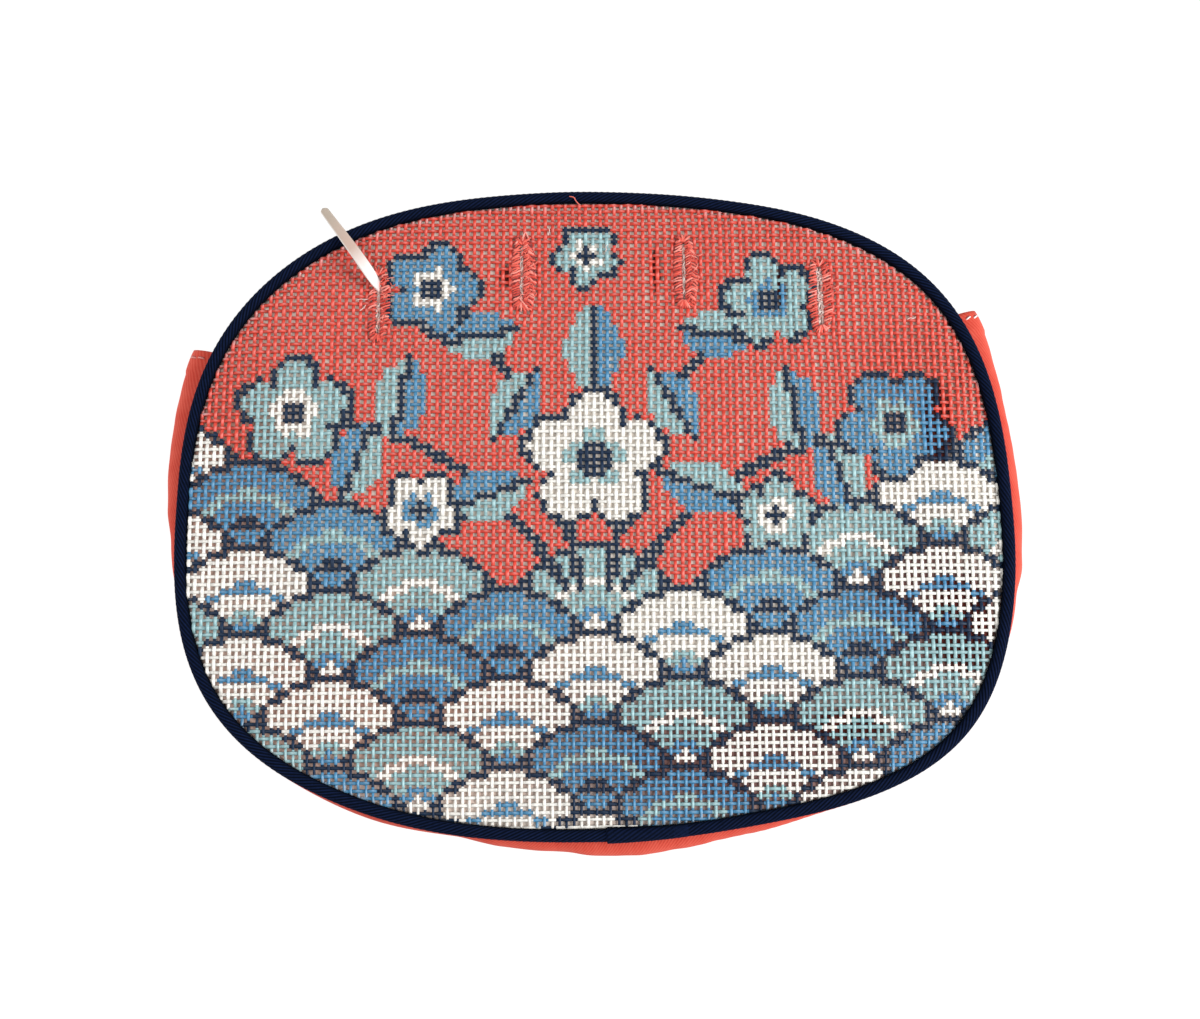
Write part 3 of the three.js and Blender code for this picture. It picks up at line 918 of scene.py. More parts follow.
def piping_profile(along, turn_share):
    ridge = ridge_share(along)
    length = along * column_step + turn_share * slant
    return length, ridge, PIPING_RADIUS - RIDGE_HEIGHT * (1 - ridge)


piping_mesh = ridged_tube("piping", rim_columns, PIPING_SIDES, piping_profile)
print("the piping is", round(RIM_LENGTH), "mm long, with", ridge_count, "ridges")

# %% The folded lap
LAP_ANGLE = math.radians(271.6)
LAP_LENGTH = 28.0
LAP_THICKNESS, LAP_TAIL_THICKNESS = 0.65, 0.05
LAP_CORNER, LAP_TUCK = 0.5, 0.3
LAP_COLUMNS, LAP_SIDES = 64, 32

lap_start = float(np.interp(LAP_ANGLE, rim_angles, rim_lengths))


def lap_profile(along, turn_share):
    """The lap is thickest at its fold, which is rounded down to the cord, and thins along its length."""
    reach = LAP_LENGTH * along / LAP_COLUMNS
    rounding = 1 - math.sqrt(max(0, 1 - (1 - min(1, reach / LAP_CORNER)) ** 2))
    thickness = LAP_THICKNESS + (LAP_TAIL_THICKNESS - LAP_THICKNESS) * reach / LAP_LENGTH
    ridge = ridge_share((reach - turn_share * slant) / column_step)
    groove = RIDGE_HEIGHT * (1 - ridge)
    radius = PIPING_RADIUS + (thickness - groove) * (1 - rounding) - LAP_TUCK * rounding
    return lap_start + reach, ridge, radius


lap_mesh = ridged_tube("piping_lap", LAP_COLUMNS, LAP_SIDES, lap_profile)

# %% Navy twill
# It is almost black in the grooves and down beside the canvas, as painted shade, and bluer on the
# ridge crests, as painted highlight, with a little lint on them.
navy_twill, tree, shader = new_material(
    "navy_cotton_twill_piping", Roughness=0.8, Specular_IOR_Level=0.06
)
lint = noise(tree, grain=1.2, detail=4, roughness=0.7)
ridge_light_links = {0: kept(tree, "ridge", "Fac"), 1: lint}
wear_and_light = add_node(tree, "ShaderNodeMath", links=ridge_light_links, operation="MULTIPLY").outputs["Value"]
tree.links.new(mixed(tree, wear_and_light, "00040f", "172750"), shader.inputs["Base Color"])
relief(tree, shader, lint, strength=0.4, depth=0.1)

piping = make_piece("piping", piping_mesh, navy_twill)
make_piece("piping_lap", lap_mesh, navy_twill)
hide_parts("edge_piping")

# %% [markdown]
# ## The gusset
#
# A strip of coral twill joins the front to the back round three sides, and folds outwards where the
# empty cover has settled on the table. How far each stretch bulges past the piping is listed, as are
# the creases, so the strip is a grid bent into that fold with soft troughs across it.

# %% The gusset's reach, creases and lean
# An angle in degrees, and how far the fold reaches past the piping there in millimetres.
GUSSET_REACH = [
    (157.5, 8.8), (165, 7.5), (173, 6.4), (180, 5.5), (185, 3.3), (193, 1.4), (206, 0.9), (222, 0.9),
    (234, 1.7), (247, 0.7), (254, 2.6), (262, 3.4), (271, 5.1), (277, 5.3), (284, 4.2), (295, 2.7),
    (308, 0.6), (321, 0.6), (335, 0.9), (347, 2.7), (351.5, 4.6), (358, 5.2), (371, 4.8), (378, 5.5),
    (387.6, 8.2),
]
# An angle, a depth in millimetres, and a width and a lean in degrees.
GUSSET_CREASES = [
    (167, 0.30, 2.6, 3.0), (181, 0.22, 2.0, -2.5), (252, 0.25, 2.4, 3.5), (266, 0.22, 1.8, -3.0),
    (289, 0.28, 2.6, 3.0), (340, 0.20, 1.9, -3.0), (353, 0.26, 2.4, 2.5), (375, 0.30, 2.5, -3.0),
]
HEM_LEAN, LEAN_FADE = 0.9, 12.0

fold_angles, fold_reaches = np.array(GUSSET_REACH).T
GUSSET_START, GUSSET_END = np.radians(fold_angles[[0, -1]]).tolist()


def gusset_reach(angle):
    degrees = np.clip(np.degrees(angle), fold_angles[0], fold_angles[-1])
    k = min(int(np.searchsorted(fold_angles, degrees, side="right")) - 1, len(fold_angles) - 2)
    share = smooth_step(degrees, fold_angles[k], fold_angles[k + 1])
    return fold_reaches[k] + (fold_reaches[k + 1] - fold_reaches[k]) * share


def hem_lean(degrees):
    """How many degrees a section's outermost point moves round: both hems lean from the mouth."""
    near_start, near_end = np.exp(-(((degrees - fold_angles[[0, -1]]) / LEAN_FADE) ** 2))
    return HEM_LEAN * (near_start - near_end)


def crease_depth(degrees, turn):
    depth = 0.0
    for at, deepest, width, lean in GUSSET_CREASES:
        aside = (degrees - at - lean * math.cos(turn)) / width
        depth += deepest * math.exp(-aside * aside) * math.sin(turn)
    return depth


# %% The gusset's fold
CLOTH_THICKNESS = 1.2
SEAM_GAP, LIP_INSET = 0.3, 0.5
PUCKER, PUCKER_LENGTH = 0.04, 11.0
PUCKER_DRIFT, DRIFT_LENGTH = 1.3, 17.0


def gusset_point(angle, turn, proud=0.0):
    """A point on the gusset's section: turn 0 is under the piping and half a turn is at the back."""
    top = rim_height(angle) - PIPING_RADIUS - SEAM_GAP - CLOTH_THICKNESS / 2
    foot = CLOTH_THICKNESS + SEAM_GAP + CLOTH_THICKNESS / 2
    middle, drop = (top + foot) / 2, (top - foot) / 2
    bulge = PIPING_RADIUS + gusset_reach(angle) - CLOTH_THICKNESS / 2 + LIP_INSET
    arc = angle * radius_at(angle)
    drift = PUCKER_DRIFT * math.sin(arc / DRIFT_LENGTH)
    pucker = PUCKER * math.sin(FULL_TURN * arc / PUCKER_LENGTH + drift)
    dent = crease_depth(math.degrees(angle), turn) + pucker * math.sin(turn) ** 2
    across, up = drop * math.sin(turn), bulge * math.cos(turn)
    size = math.hypot(across, up)
    out = bulge * math.sin(turn) - LIP_INSET + (proud - dent) * across / size
    z = middle + drop * math.cos(turn) + (proud - dent) * up / size
    lean = math.radians(hem_lean(math.degrees(angle))) * math.sin(turn)
    x, y = rim_point(angle + lean, out)
    return Vector((x, y, z)) * MM


# %% [markdown]
# The strip's ends are hems of double cloth, kept as a weight on its points. Its ribs lie steeper at
# the foot, where they are seen edge on, so the cloth's UV map is stretched along the strip there and
# squeezed across it. The strip is painted paler on its outer face and darker near the piping, as
# painted light and shade.

# %% The gusset's sheet and hems
GUSSET_CELLS = (420, 20)
STRIP_WIDTH = 20.0
HEM_WIDTH = 7.5
HEM_THICKNESS = 2.0
# The turns over which the gusset goes from painted shade near the piping to painted light outward.
PAINTED_LIGHT_TURNS = (0.15 * math.pi, 0.5 * math.pi)
FOOT_ANGLE, FOOT_WIDTH = 275, 28
FOOT_STRETCH, FOOT_SQUEEZE = 0.9, 0.45


def rim_distance(angle):
    """How far round the rim an angle is, counted on past a full turn."""
    turns, rest = divmod(angle, FULL_TURN)
    return float(np.interp(rest, rim_angles, rim_lengths)) + turns * RIM_LENGTH


def lay_cloth(bm, place):
    """A UV map in metres of flat cloth, from where each point lies on the grid."""
    layer = bm.loops.layers.uv.new("cloth")
    for face in bm.faces:
        for loop in face.loops:
            loop[layer].uv = place(loop.vert.co)


gusset_length = rim_distance(GUSSET_END) - rim_distance(GUSSET_START)
strip_angles = np.linspace(GUSSET_START, GUSSET_END, GUSSET_CELLS[0] + 1)
foot_shares = np.exp(-(((np.degrees(strip_angles) - FOOT_ANGLE) / FOOT_WIDTH) ** 2))
rib_run = np.cumsum(1 + FOOT_STRETCH * foot_shares) * gusset_length / GUSSET_CELLS[0]


def strip_place(spot):
    column = round((spot.x + 1) / 2 * GUSSET_CELLS[0])
    squeeze = 1 - FOOT_SQUEEZE * foot_shares[column]
    return rib_run[column] * MM, (spot.y + 1) / 2 * STRIP_WIDTH * squeeze * MM


bm = new_grid(*GUSSET_CELLS)
lay_cloth(bm, strip_place)
hem_weight = bm.verts.layers.deform.new()
painted_light_layer = bm.verts.layers.float.new("painted_light")
for vert in bm.verts:
    share = (vert.co.x + 1) / 2
    angle = GUSSET_START + (GUSSET_END - GUSSET_START) * share
    to_end = min(share, 1 - share) * gusset_length
    vert[hem_weight][0] = 1.0 if to_end < HEM_WIDTH else CLOTH_THICKNESS / HEM_THICKNESS
    turn = (1 - vert.co.y) / 2 * math.pi
    vert[painted_light_layer] = float(smooth_step(turn, *PAINTED_LIGHT_TURNS))
    vert.co = gusset_point(angle, turn)
gusset = make_piece("gusset_strip", sheet_mesh("gusset_strip", bm), coral_twill)
gusset.vertex_groups.new(name="hem")
thicken(gusset, HEM_THICKNESS, 0).vertex_group = "hem"
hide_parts("gusset")
print("the gusset is", round(gusset_length), "mm long")

# %% [markdown]
# ## Sewing threads
#
# Buttonhole stitches, hem stitches and loose ends are all short lengths of thread. A curve with a
# bevel would do for a few, but there are hundreds, so a helper lays a five-sided tube along each
# smoothed path and joins them all into one mesh, each with its own tint. Mercerised cotton has a
# silky sheen, and its plies make it a little uneven.

# %% Strands of thread as one mesh
STRAND_SIDES = 5
SPAN_STEPS = 3
END_TAPER = 0.6
ASKEW = (0.31, 0.17, 0.94)


def smooth_path(points):
    """A Catmull-Rom curve through the points."""
    held = np.vstack([2 * points[0] - points[1], points, 2 * points[-1] - points[-2]])
    share = np.arange(SPAN_STEPS)[:, None] / SPAN_STEPS
    path = []
    for a, b, c, d in zip(held, held[1:], held[2:], held[3:]):
        bend = (2 * a - 5 * b + 4 * c - d) * share**2 + (3 * b - a - 3 * c + d) * share**3
        path.append(0.5 * (2 * b + (c - a) * share + bend))
    return np.vstack(path + [points[-1:]])


def unit(vectors):
    return vectors / np.linalg.norm(vectors, axis=1)[:, None]


def strands_mesh(name, strands):
    points, faces, dyes = [], [], []
    sides = np.arange(STRAND_SIDES)
    turns = FULL_TURN * sides[:, None] / STRAND_SIDES
    start = 0
    for strand in strands:
        path = smooth_path(np.array(strand["points"], float))
        tangent = unit(np.gradient(path, axis=0))
        side = unit(np.cross(tangent, ASKEW))
        up = np.cross(side, tangent)
        radius = np.full((len(path), 1, 1), strand["radius"])
        radius[[0, -1]] *= END_TAPER
        round_it = np.cos(turns) * side[:, None] + np.sin(turns) * up[:, None]
        points.append((path[:, None] + radius * round_it).reshape(-1, 3))
        dyes.extend([strand["dye"]] * len(points[-1]))
        quads = tube_faces(start, len(path), STRAND_SIDES)[:, :, [0, 3, 2, 1]]
        faces.extend(quads.reshape(-1, 4).tolist())
        faces.append((start + sides).tolist())
        start += len(points[-1])
        faces.append((start - 1 - sides).tolist())
    mesh = bpy.data.meshes.new(name)
    mesh.from_pydata(np.concatenate(points) * MM, [], faces)
    layer = mesh.color_attributes.new("dye", "FLOAT_COLOR", "POINT")
    layer.data.foreach_set("color", np.array(dyes, np.float32).ravel())
    return mesh


mercerised, tree, shader = new_material(
    "mercerised_cotton_thread", Roughness=0.45, Sheen_Weight=0.3, Specular_IOR_Level=0.4
)
mottle(tree, shader, "dye", noise(tree, grain=0.35, detail=2), low=0.8, high=1.15)

# %% [markdown]
# ## Worked buttonholes
#
# Each slit is overcast with coral thread: bars down both sides that all slant one way, shorter
# towards the ends, and a fan of stitches at each end. The two middle ones are packed, with very dark
# stitches laid under the bright ones as painted shade between them, and their right side is worked
# in two rows. On the outer two the painted canvas shows between the bars. The folded lining makes
# two pale lips along each slit, with cut fibres on them.

# %% One stitch
STITCH_RADIUS, RADIUS_WANDER = 0.31, 0.1
BAR_SLANT = 1.4
# How far along a stitch each of its points is, and how high it arches over the canvas there.
BAR_ARCH = ((0, -0.9), (0.12, 0.1), (0.5, 0.35), (0.88, 0.1), (1, -0.9))
NEAT_STRAY, ROUGH_STRAY = 0.03, 0.16
NEAT_SLANT, ROUGH_SLANT = 0.1, 0.3
THREAD_DYES = [linear(colour) for colour in ("d84736", "e45a49", "ee705f", "f69486", "cb3b2d")]
# Very dark dyes for the stitches laid between the bright ones, as painted shade.
SHADED_DYES = [linear(colour) for colour in ("82160f", "961f17", "a9281e")]

CREST = WEAVE_RISE + THREAD_HEIGHT * SECTION[:, 1].max()

needle = np.random.default_rng(23)


def on_canvas(x, y, lift):
    """A point above the crests of the canvas's threads."""
    return (x, y, float(canvas_middle(x, y)) + CREST + lift)


def any_dye(dyes):
    return dyes[needle.integers(len(dyes))]


def stitch(points, radius, dyes=THREAD_DYES):
    dye = any_dye(dyes)
    return {"points": points, "radius": radius * needle.normal(1, RADIUS_WANDER), "dye": dye}


def bar(slit, side, y, span, slant, dyes=THREAD_DYES, lift=0.0):
    """A slanted stitch between two distances from the slit, sunk into the canvas at both ends."""
    stray = NEAT_STRAY + ROUGH_STRAY * slit["rough"]
    slant = slant * needle.normal(1, NEAT_SLANT + ROUGH_SLANT * slit["rough"])
    points = []
    for share, arch in BAR_ARCH:
        out = span[0] + share * (span[1] - span[0])
        dx, dy = needle.normal(0, stray, 2)
        points.append(on_canvas(slit["x"] + side * out + dx, y + side * slant * share + dy, arch + lift))
    return stitch(points, STITCH_RADIUS, dyes)


# %% Rows of bars and end fans
COLUMN_HALF = 12.6
END_SHARE = 0.62
LEFT_SPAN, RIGHT_SPAN = (0.4, 3.6), (0.4, 4.0)
INNER_SPAN, OUTER_SPAN = (0.4, 3.0), (2.4, 4.9)
LIP_COVER = 0.3
STITCH_WANDER, FAN_WANDER = 0.12, 0.08
UNDER_SLANT, UNDER_LIFT = -0.4, -0.25
FAN_TURNS = np.radians(np.linspace(48, 132, 9))
FAN_REACH = 3.3
FAN_ARCH = ((0.1, -1.0), (0.2, 0.2), (0.55, 0.45), (0.93, 0.2), (1, -0.8))


def bars(slit):
    """Both columns of bars, from the foot to the head."""
    lip = slit["gap"] / 2 - LIP_COVER
    rows = [(-1, LEFT_SPAN, 1)]
    rows += [(1, INNER_SPAN, 1), (1, OUTER_SPAN, -1)] if slit["packed"] else [(1, RIGHT_SPAN, 1)]
    for offset in np.arange(-COLUMN_HALF, COLUMN_HALF, slit["pitch"]):
        swell = END_SHARE + (1 - END_SHARE) * math.cos(math.pi / 2 * offset / COLUMN_HALF)
        for side, span, way in rows:
            y = slit["y"] + offset + needle.normal(0, STITCH_WANDER) - side * BAR_SLANT / 2
            reach = (span[0] * swell + lip, span[1] * swell + lip)
            slant = way * BAR_SLANT
            yield bar(slit, side, y, reach, slant)
            if slit["packed"]:
                between = y + slit["pitch"] / 2
                yield bar(slit, side, between, reach, UNDER_SLANT * slant, SHADED_DYES, UNDER_LIFT)


def end_fan(slit, end):
    """Stitches splayed round one end of the slit."""
    base_y = slit["y"] + end * SLIT_LENGTH / 2
    for turn in FAN_TURNS:
        turn = turn + needle.normal(0, STITCH_WANDER)
        reach = FAN_REACH * needle.normal(1, STITCH_WANDER)
        points = []
        for share, lift in FAN_ARCH:
            x = slit["x"] + share * reach * math.cos(turn) + needle.normal(0, FAN_WANDER)
            y = base_y + end * share * reach * math.sin(turn) + needle.normal(0, FAN_WANDER)
            points.append(on_canvas(x, y, lift))
        yield stitch(points, STITCH_RADIUS)


# %% Loops, lips and fibres
LOOPS, FIBRES = 30, 30
LOOP_STEP, LOOP_SHARE = 0.9, 0.5
LOOP_FROM, LOOP_SPREAD = 0.8, (-0.55, 0.5)
LOOP_LIFTS = (-0.2, 0.5, 0.7, 0.6, -0.1)
LOOP_CURL, CURL_WANDER = 0.7, 0.5
LIP_POINTS, LIP_SPREAD = 25, (-0.48, 0.48)
LIP_GAP, LIP_SINK = 0.08, 0.45
LIP_ASIDE, LIP_RISE = 0.2, 0.22
LIP_DYE = linear("e3d0c8")
FIBRE_RADIUS, FIBRE_SPREAD = 0.12, (-0.46, 0.36)
FIBRE_LIFTS = (-0.7, -0.2, -0.1, -0.5)
FIBRE_ASIDE, FIBRE_STEP = (-0.6, 0.6), (0.5, 1.1)
FIBRE_DYES = [linear(colour) for colour in ("f2e8e2", "e2b3a8", "c98f84")]


def loose_loop(slit):
    """A short wandering loop on the slit's right side."""
    x = slit["x"] + needle.uniform(LOOP_FROM, OUTER_SPAN[1])
    y = slit["y"] + needle.uniform(*LOOP_SPREAD) * SLIT_LENGTH
    turn = needle.uniform(0, FULL_TURN)
    points = []
    for lift in LOOP_LIFTS:
        points.append(on_canvas(x, y, lift))
        x, y = x + LOOP_STEP * math.cos(turn), y + LOOP_STEP * math.sin(turn)
        turn += needle.normal(LOOP_CURL, CURL_WANDER)
    return stitch(points, LOOP_SHARE * STITCH_RADIUS)


def slit_lip(slit, side):
    """The lining's folded edge, which stands up along one side of the slit."""
    radius = slit["gap"] / 4
    points = []
    for share in np.linspace(*LIP_SPREAD, LIP_POINTS):
        x = slit["x"] + side * (radius + LIP_GAP) + needle.normal(0, LIP_ASIDE)
        lift = needle.normal(0, LIP_RISE) - LIP_SINK - radius
        points.append(on_canvas(x, share * SLIT_LENGTH + slit["y"], lift))
    return {"points": points, "radius": radius, "dye": LIP_DYE}


def slit_fibre(slit):
    """A fibre of the cut canvas, which strays along and across the slit."""
    y = slit["y"] + needle.uniform(*FIBRE_SPREAD) * SLIT_LENGTH
    points = []
    for lift in FIBRE_LIFTS:
        out = slit["gap"] * needle.uniform(*FIBRE_ASIDE)
        points.append(on_canvas(slit["x"] + out, y, lift))
        y += needle.uniform(*FIBRE_STEP)
    return {"points": points, "radius": FIBRE_RADIUS, "dye": any_dye(FIBRE_DYES)}


# %% Work the four buttonholes
for number, slit in enumerate(SLITS, 1):
    strands = list(bars(slit))
    for end in (-1, 1):
        strands.extend(end_fan(slit, end))
        strands.append(slit_lip(slit, end))
    strands.extend(loose_loop(slit) for _ in range(round(LOOPS * slit["rough"])))
    strands.extend(slit_fibre(slit) for _ in range(FIBRES))
    name = f"buttonhole_stitches_{number}"
    stitches = make_piece(name, strands_mesh(name, strands), mercerised)
    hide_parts(f"buttonhole_{number}")

# %% [markdown]
# ## Loose threads
#
# Hand work leaves ends: one long stitch crosses the foot of the second buttonhole, a loop stands
# over its head, a few hairs lie on the canvas, and a stray end of canvas thread sticks out over the
# piping at the mouth. Each is a few given points.

# %% The loose threads
FOOT_STITCH = [
    (-26.7, 75.1, 0.1), (-25.9, 74.0, 0.7), (-25.0, 72.8, 0.8), (-24.1, 71.6, 0.7), (-23.2, 70.5, 0.0),
]
HEAD_LOOP = [
    (-26.1, 96.9, 0.1), (-25.4, 98.8, 0.6), (-24.5, 100.3, 0.7), (-23.8, 99.0, 0.6), (-23.1, 97.3, 0.1),
]
STRAY_END = [
    (-4.2, 111.2, 11.6), (-5.2, 112.0, 12.9), (-6.2, 112.9, 13.8), (-6.9, 114.0, 14.2), (-8.6, 114.4, 14.2),
]
HAIRS = [
    [(-85.4, 74.6, 0.1), (-83.8, 75.0, 0.3), (-82.2, 74.8, 0.3), (-80.7, 75.1, 0.1)],
    [(-84.0, 70.6, 0.1), (-83.1, 71.2, 0.3), (-82.4, 71.9, 0.3), (-81.8, 72.9, 0.1)],
    [(-16.4, 99.2, 0.1), (-15.9, 100.4, 0.3), (-15.8, 101.5, 0.3), (-16.3, 102.6, 0.1)],
    [(4.4, 92.6, 0.1), (4.9, 93.6, 0.3), (4.7, 94.6, 0.3), (5.2, 95.6, 0.1)],
    [(112.6, 66.0, 0.1), (113.8, 66.6, 0.4), (115.0, 66.4, 0.4), (116.0, 67.2, 0.1)],
]


def laid(points, radius, colour):
    """A thread that lies on the canvas, through points that are given from its crests."""
    return {"points": [on_canvas(*point) for point in points], "radius": radius, "dye": linear(colour)}


strands = [
    laid(FOOT_STITCH, 0.26, "f59a8c"),
    laid(HEAD_LOOP, 0.24, "f6a598"),
    {"points": STRAY_END, "radius": 0.22, "dye": linear("dd6a5b")},
]
strands += [laid(hair, 0.14, "f6d6cf") for hair in HAIRS]
make_piece("loose_threads", strands_mesh("loose_threads", strands), mercerised)

# %% [markdown]
# ## Hem stitches
#
# The gusset's two ends are turned in and run down with a line of pale stitches a few millimetres
# from the fold. Each stitch shows as a short slanted bar that sinks into the twill at both ends,
# with a darker strand beside it as painted shade where it pulls the cloth down. None sits on the
# strip's sharpest bend, where it would stand out from the cover's edge.

# %% The hem stitches
HEMS = [
    {"end": GUSSET_START, "inward": 1, "inset": 2.8, "length": 3.0, "gap": 0.4, "lean": 0.3},
    {"end": GUSSET_END, "inward": -1, "inset": 2.3, "length": 2.3, "gap": 0.9, "lean": 0.8},
]
HEM_DYES = [linear("de8478"), linear("fff0ec")]
HEM_STITCH_RADIUS = 0.3
HEM_ARCH = ((0, 0.7), (0.2, 1.15), (0.5, 1.25), (0.8, 1.15), (1, 0.7))
# A darker strand beside each stitch, as painted shade where the stitch pulls the cloth down.
PULL_SHADE_ASIDE, PULL_SHADE_SINK, PULL_SHADE_DYE = 0.42, 0.28, linear("a52d23")
CREST_TURN, HEM_TURNS, HEM_STEPS = 0.41 * math.pi, (0.06 * math.pi, 0.94 * math.pi), 400

strands = []
turns = np.linspace(*HEM_TURNS, HEM_STEPS)
for hem, hem_dye in zip(HEMS, HEM_DYES):
    angle = hem["end"] + hem["inward"] * hem["inset"] / float(radius_at(hem["end"]))
    run = walked(np.array([gusset_point(angle, turn) for turn in turns]) / MM)
    crest = np.interp(CREST_TURN, turns, run) + hem["gap"] / 2
    pitch = hem["length"] + hem["gap"]
    for begin in np.arange(crest % pitch, run[-1] - hem["length"], pitch):
        if abs(begin - crest) < hem["gap"]:
            continue
        for aside, sink, dye in ((0, 0, hem_dye), (PULL_SHADE_ASIDE, PULL_SHADE_SINK, PULL_SHADE_DYE)):
            points = []
            for share, proud in HEM_ARCH:
                turn = float(np.interp(begin + share * hem["length"], run, turns))
                lean = hem["inward"] * ((0.5 - share) * hem["lean"] - aside) / float(radius_at(angle))
                points.append(tuple(gusset_point(angle + lean, turn, proud - sink) / MM))
            strands.append({"points": points, "radius": HEM_STITCH_RADIUS, "dye": dye})
hem_mesh = strands_mesh("hem_stitches", strands)
hem_stitches = make_piece("hem_stitches", hem_mesh, mercerised)
print(len(strands), "hem stitches")

# %% [markdown]
# ## The back
#
# The back is one flat piece of that same coral twill. It lies on the table, and carries the lower
# buttonholes, so its slits are overcast too, with stitches that stay above the table.

# %% The back's sheet
BACK_CELLS = (84, 68)
BACK_OUTSET = 0.5
BACK_SLIT_WIDTH = 1.4
BACK_LIFT, LIFT_REACH = 0.45, 9.0
BACK_THICKNESS = 0.75


def back_face(x, y):
    """The back's upper face, lifted a little where the overcast slits lie on the table."""
    lift = 0.0
    for slit in SLITS:
        away = (x - slit["x"]) ** 2 + past_slit(slit, y) ** 2
        lift += BACK_LIFT * math.exp(-away / LIFT_REACH**2)
    return BACK_THICKNESS + min(BACK_LIFT, lift)


bm = cut_slits(oval_grid(BACK_CELLS, BACK_OUTSET, back_face), BACK_SLIT_WIDTH)
lay_cloth(bm, lambda spot: spot.xy)
back = make_piece("back_panel_cloth", sheet_mesh("back", bm), coral_twill)
thicken(back, BACK_THICKNESS, -1)
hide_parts("back_panel")

# %% The back's stitches
BACK_PITCH, BACK_START = 1.0, 0.4
BACK_STITCH_RADIUS, BACK_STITCH_SLANT = 0.24, 0.12
# How far out of the slit each point is, and how high over the table.
BACK_ARCH = ((0.5, 0.8), (0.7, 0.35), (1.6, 0.26), (2.6, 0.35), (2.9, 0.8))

strands = []
for slit in SLITS:
    for offset in np.arange(BACK_START - SLIT_LENGTH / 2, SLIT_LENGTH / 2, BACK_PITCH):
        y = slit["y"] + offset
        for side in (-1, 1):
            points = [(slit["x"] + side * out, y + BACK_STITCH_SLANT * out, z) for out, z in BACK_ARCH]
            strands.append({"points": points, "radius": BACK_STITCH_RADIUS, "dye": any_dye(THREAD_DYES)})
make_piece("back_stitches", strands_mesh("back_stitches", strands), mercerised)

# %% [markdown]
# ## The tie
#
# A flat white tie comes up through the first slit, arches over the piping and droops past it to its
# rounded free end. It is a thin strip swept along the same route as its solid. Satin tape is smooth
# and white; further along, its colour is painted pinkish brown as a reflection of the coral cloth,
# then grey towards its end as painted shade, with a painted highlight along one edge.

# %% The tie's route
TIE_WIDTH, TIP_WIDTH, TIE_TIP = 4.4, 3.0, 1.7
# Each point is its place, its rise over the canvas at the slit, and the strip's turn in degrees.
TIE_ROUTE = [
    (-77.4, 80.0, -4.6, 90), (-77.4, 80.0, -1.6, 90), (-77.5, 79.9, 1.0, 88), (-77.7, 80.0, 3.1, 82),
    (-78.4, 80.8, 4.7, 70), (-79.7, 82.7, 5.6, 56), (-82.0, 86.2, 5.4, 45), (-85.0, 90.7, 4.0, 39),
    (-88.4, 95.7, 1.7, 36), (-91.7, 100.5, -0.7, 35), (-94.7, 104.8, -2.8, 34), (-98.4, 110.2, -5.6, 33),
]

tie_base = float(canvas_face(SLITS[0]["x"], SLITS[0]["y"]))
tie_points = np.array([(x, y, tie_base + rise) for x, y, rise, _ in TIE_ROUTE])
last_step = tie_points[-1:] - tie_points[-2:-1]
tie_points = np.vstack([tie_points, tie_points[-1] + TIE_TIP * unit(last_step)])
tie_turns = np.radians([turn for *_, turn in TIE_ROUTE + TIE_ROUTE[-1:]])
tie_line = smooth_path(tie_points)
tie_spacing, turn_spacing = walked(tie_line), walked(tie_points)
tie_length = float(tie_spacing[-1])
print("the tie is", round(tie_length, 1), "mm long")

# %% The tie's strip
TIE_CELLS = (60, 6)
TAPE_THICKNESS = 0.6
TAPE_CUP = 0.25
LEAST_ROUNDING = 0.02

bm = new_grid(*TIE_CELLS)
lay_cloth(bm, lambda spot: ((spot.x + 1) / 2 * tie_length * MM, spot.y / 2 * TIE_WIDTH * MM))
for vert in bm.verts:
    reach = (vert.co.x + 1) / 2 * tie_length
    x, y, z = (np.interp(reach, tie_spacing, values) for values in tie_line.T)
    turn = float(np.interp(reach / tie_length * turn_spacing[-1], turn_spacing, tie_turns))
    to_tip = min(1, (tie_length - reach) / TIE_TIP)
    rounding = math.sqrt(max(LEAST_ROUNDING, 1 - (1 - to_tip) ** 2))
    half = (TIE_WIDTH + (TIP_WIDTH - TIE_WIDTH) * reach / tie_length) / 2 * rounding
    out = vert.co.y * half
    cup = TAPE_CUP * (1 - vert.co.y**2)
    vert.co = Vector((x + out * math.cos(turn), y + out * math.sin(turn), z + cup)) * MM
tie_mesh = sheet_mesh("tie", bm)

# %% Satin tape
# Further along, the tape is painted pinkish brown as a reflection of the coral, then grey as painted shade,
# with a painted highlight along one edge.
REFLECTION_SPAN, END_SHADE_SPAN = (13 * MM, 25 * MM), (26 * MM, 44 * MM)
EDGE_HIGHLIGHT_SPAN = (-0.36 * TIE_WIDTH * MM, -0.46 * TIE_WIDTH * MM)

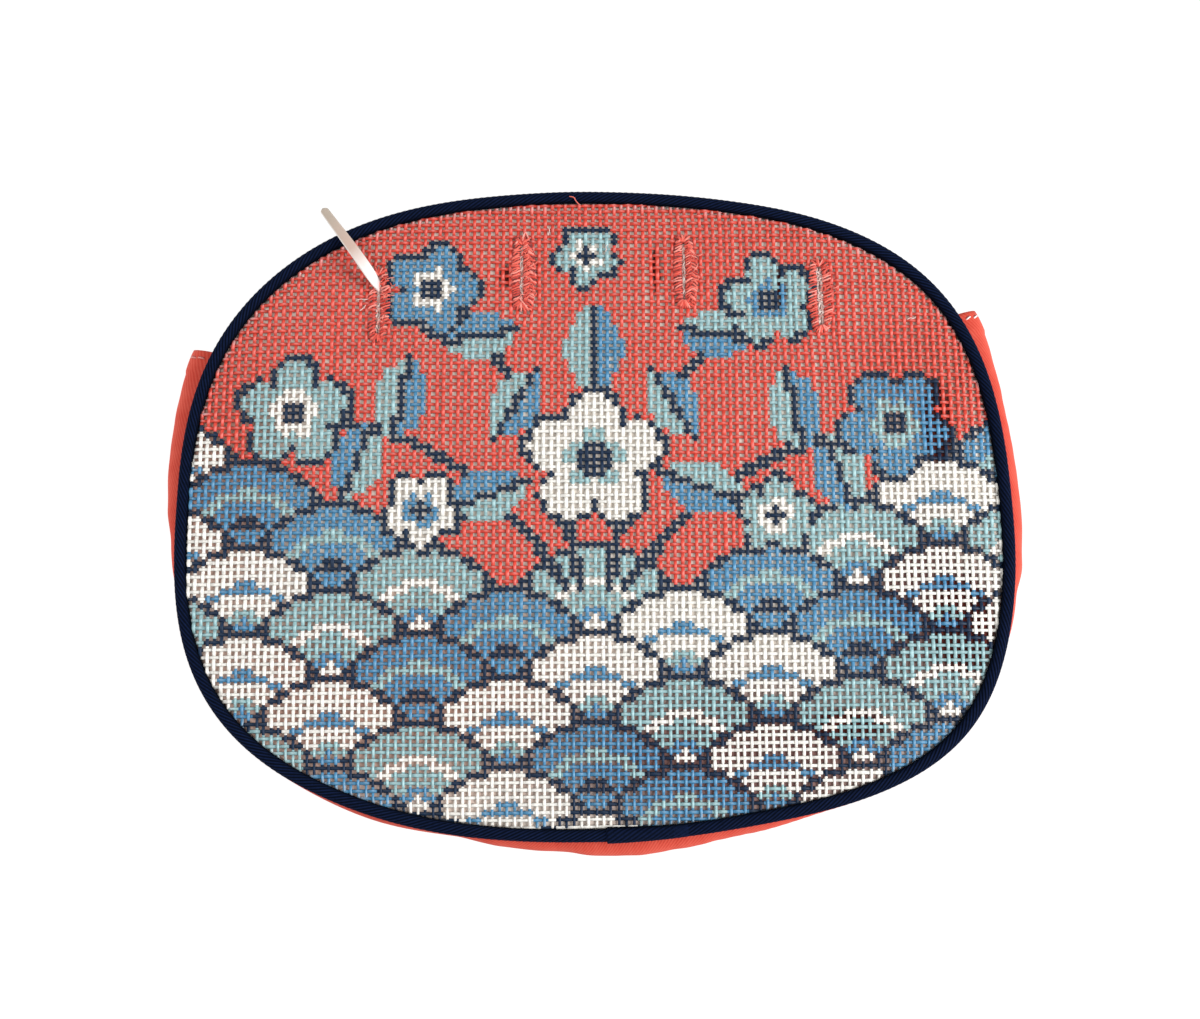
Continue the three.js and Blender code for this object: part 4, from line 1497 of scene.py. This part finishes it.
satin, tree, shader = new_material("white_satin_tape", Roughness=0.32, Sheen_Weight=0.2)
cloth = add_node(tree, "ShaderNodeUVMap", uv_map="cloth").outputs["UV"]
spot = add_node(tree, "ShaderNodeSeparateXYZ", links={"Vector": cloth}).outputs
coral_reflection = mixed(tree, ramp(tree, spot["X"], *REFLECTION_SPAN), "fdf7f4", "d2b5a6")
end_shade = mixed(tree, ramp(tree, spot["X"], *END_SHADE_SPAN), coral_reflection, "b9aa9a")
edge_highlight = mixed(tree, ramp(tree, spot["Y"], *EDGE_HIGHLIGHT_SPAN), end_shade, "f3ece6")
tree.links.new(edge_highlight, shader.inputs["Base Color"])
tie = make_piece("tie_tape", tie_mesh, satin)
thicken(tie, TAPE_THICKNESS, 0)
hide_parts("tie")

# %% [markdown]
# ## The studio
#
# The cover lies on a white light table, so no shadow shows round it: the table is a dull grey that
# glows. A large panel from the lower right models the threads, a weaker one faces it, and a bright
# sky fills what they leave.

# %% Floor, light and view
FLOOR_SIZE = 3.0
FLOOR_DROP = 0.05 * MM
TABLE_GLOW, SKY_GLOW = 0.9, 0.5
LIGHTS = [
    {"name": "panel_right", "at": (1.05, -0.3, 0.8), "size": 0.6, "power": 19.0},
    {"name": "panel_left", "at": (-1.0, 0.3, 0.8), "size": 0.8, "power": 7.0},
]

bm = new_grid(1, 1, FLOOR_SIZE / 2)
bmesh.ops.translate(bm, vec=(0, 0, -FLOOR_DROP), verts=bm.verts)
light_table, tree, shader = new_material(
    "matt_white_table",
    Roughness=0.9,
    Base_Color=linear("6e6e6e"),
    Emission_Color=linear("ffffff"),
    Emission_Strength=TABLE_GLOW,
)
floor = show("table", sheet_mesh("table", bm))
floor.data.materials.append(light_table)

for light in LIGHTS:
    lamp = bpy.data.lights.new(light["name"], "AREA")
    lamp.size = light["size"]
    lamp.energy = light["power"]
    lit = show(light["name"], lamp)
    lit.location = light["at"]
    lit.rotation_euler = (-lit.location).to_track_quat("-Z", "Y").to_euler()

sky = bpy.data.worlds.new("bright_room")
sky.use_nodes = True
sky.node_tree.nodes["Background"].inputs["Color"].default_value = linear("ffffff")
sky.node_tree.nodes["Background"].inputs["Strength"].default_value = SKY_GLOW
bpy.context.scene.world = sky
bpy.context.scene.view_settings.view_transform = "Standard"
print(len(LIGHTS), "panels light the cover")

# %% [markdown]
# ## The canvas's flat size
#
# The width and height that the canvas was cut to are those of its edge. The canvas is mostly
# holes.

front_flat = (float(np.ptp(edge_x)) * MM, float(np.ptp(edge_y)) * MM)
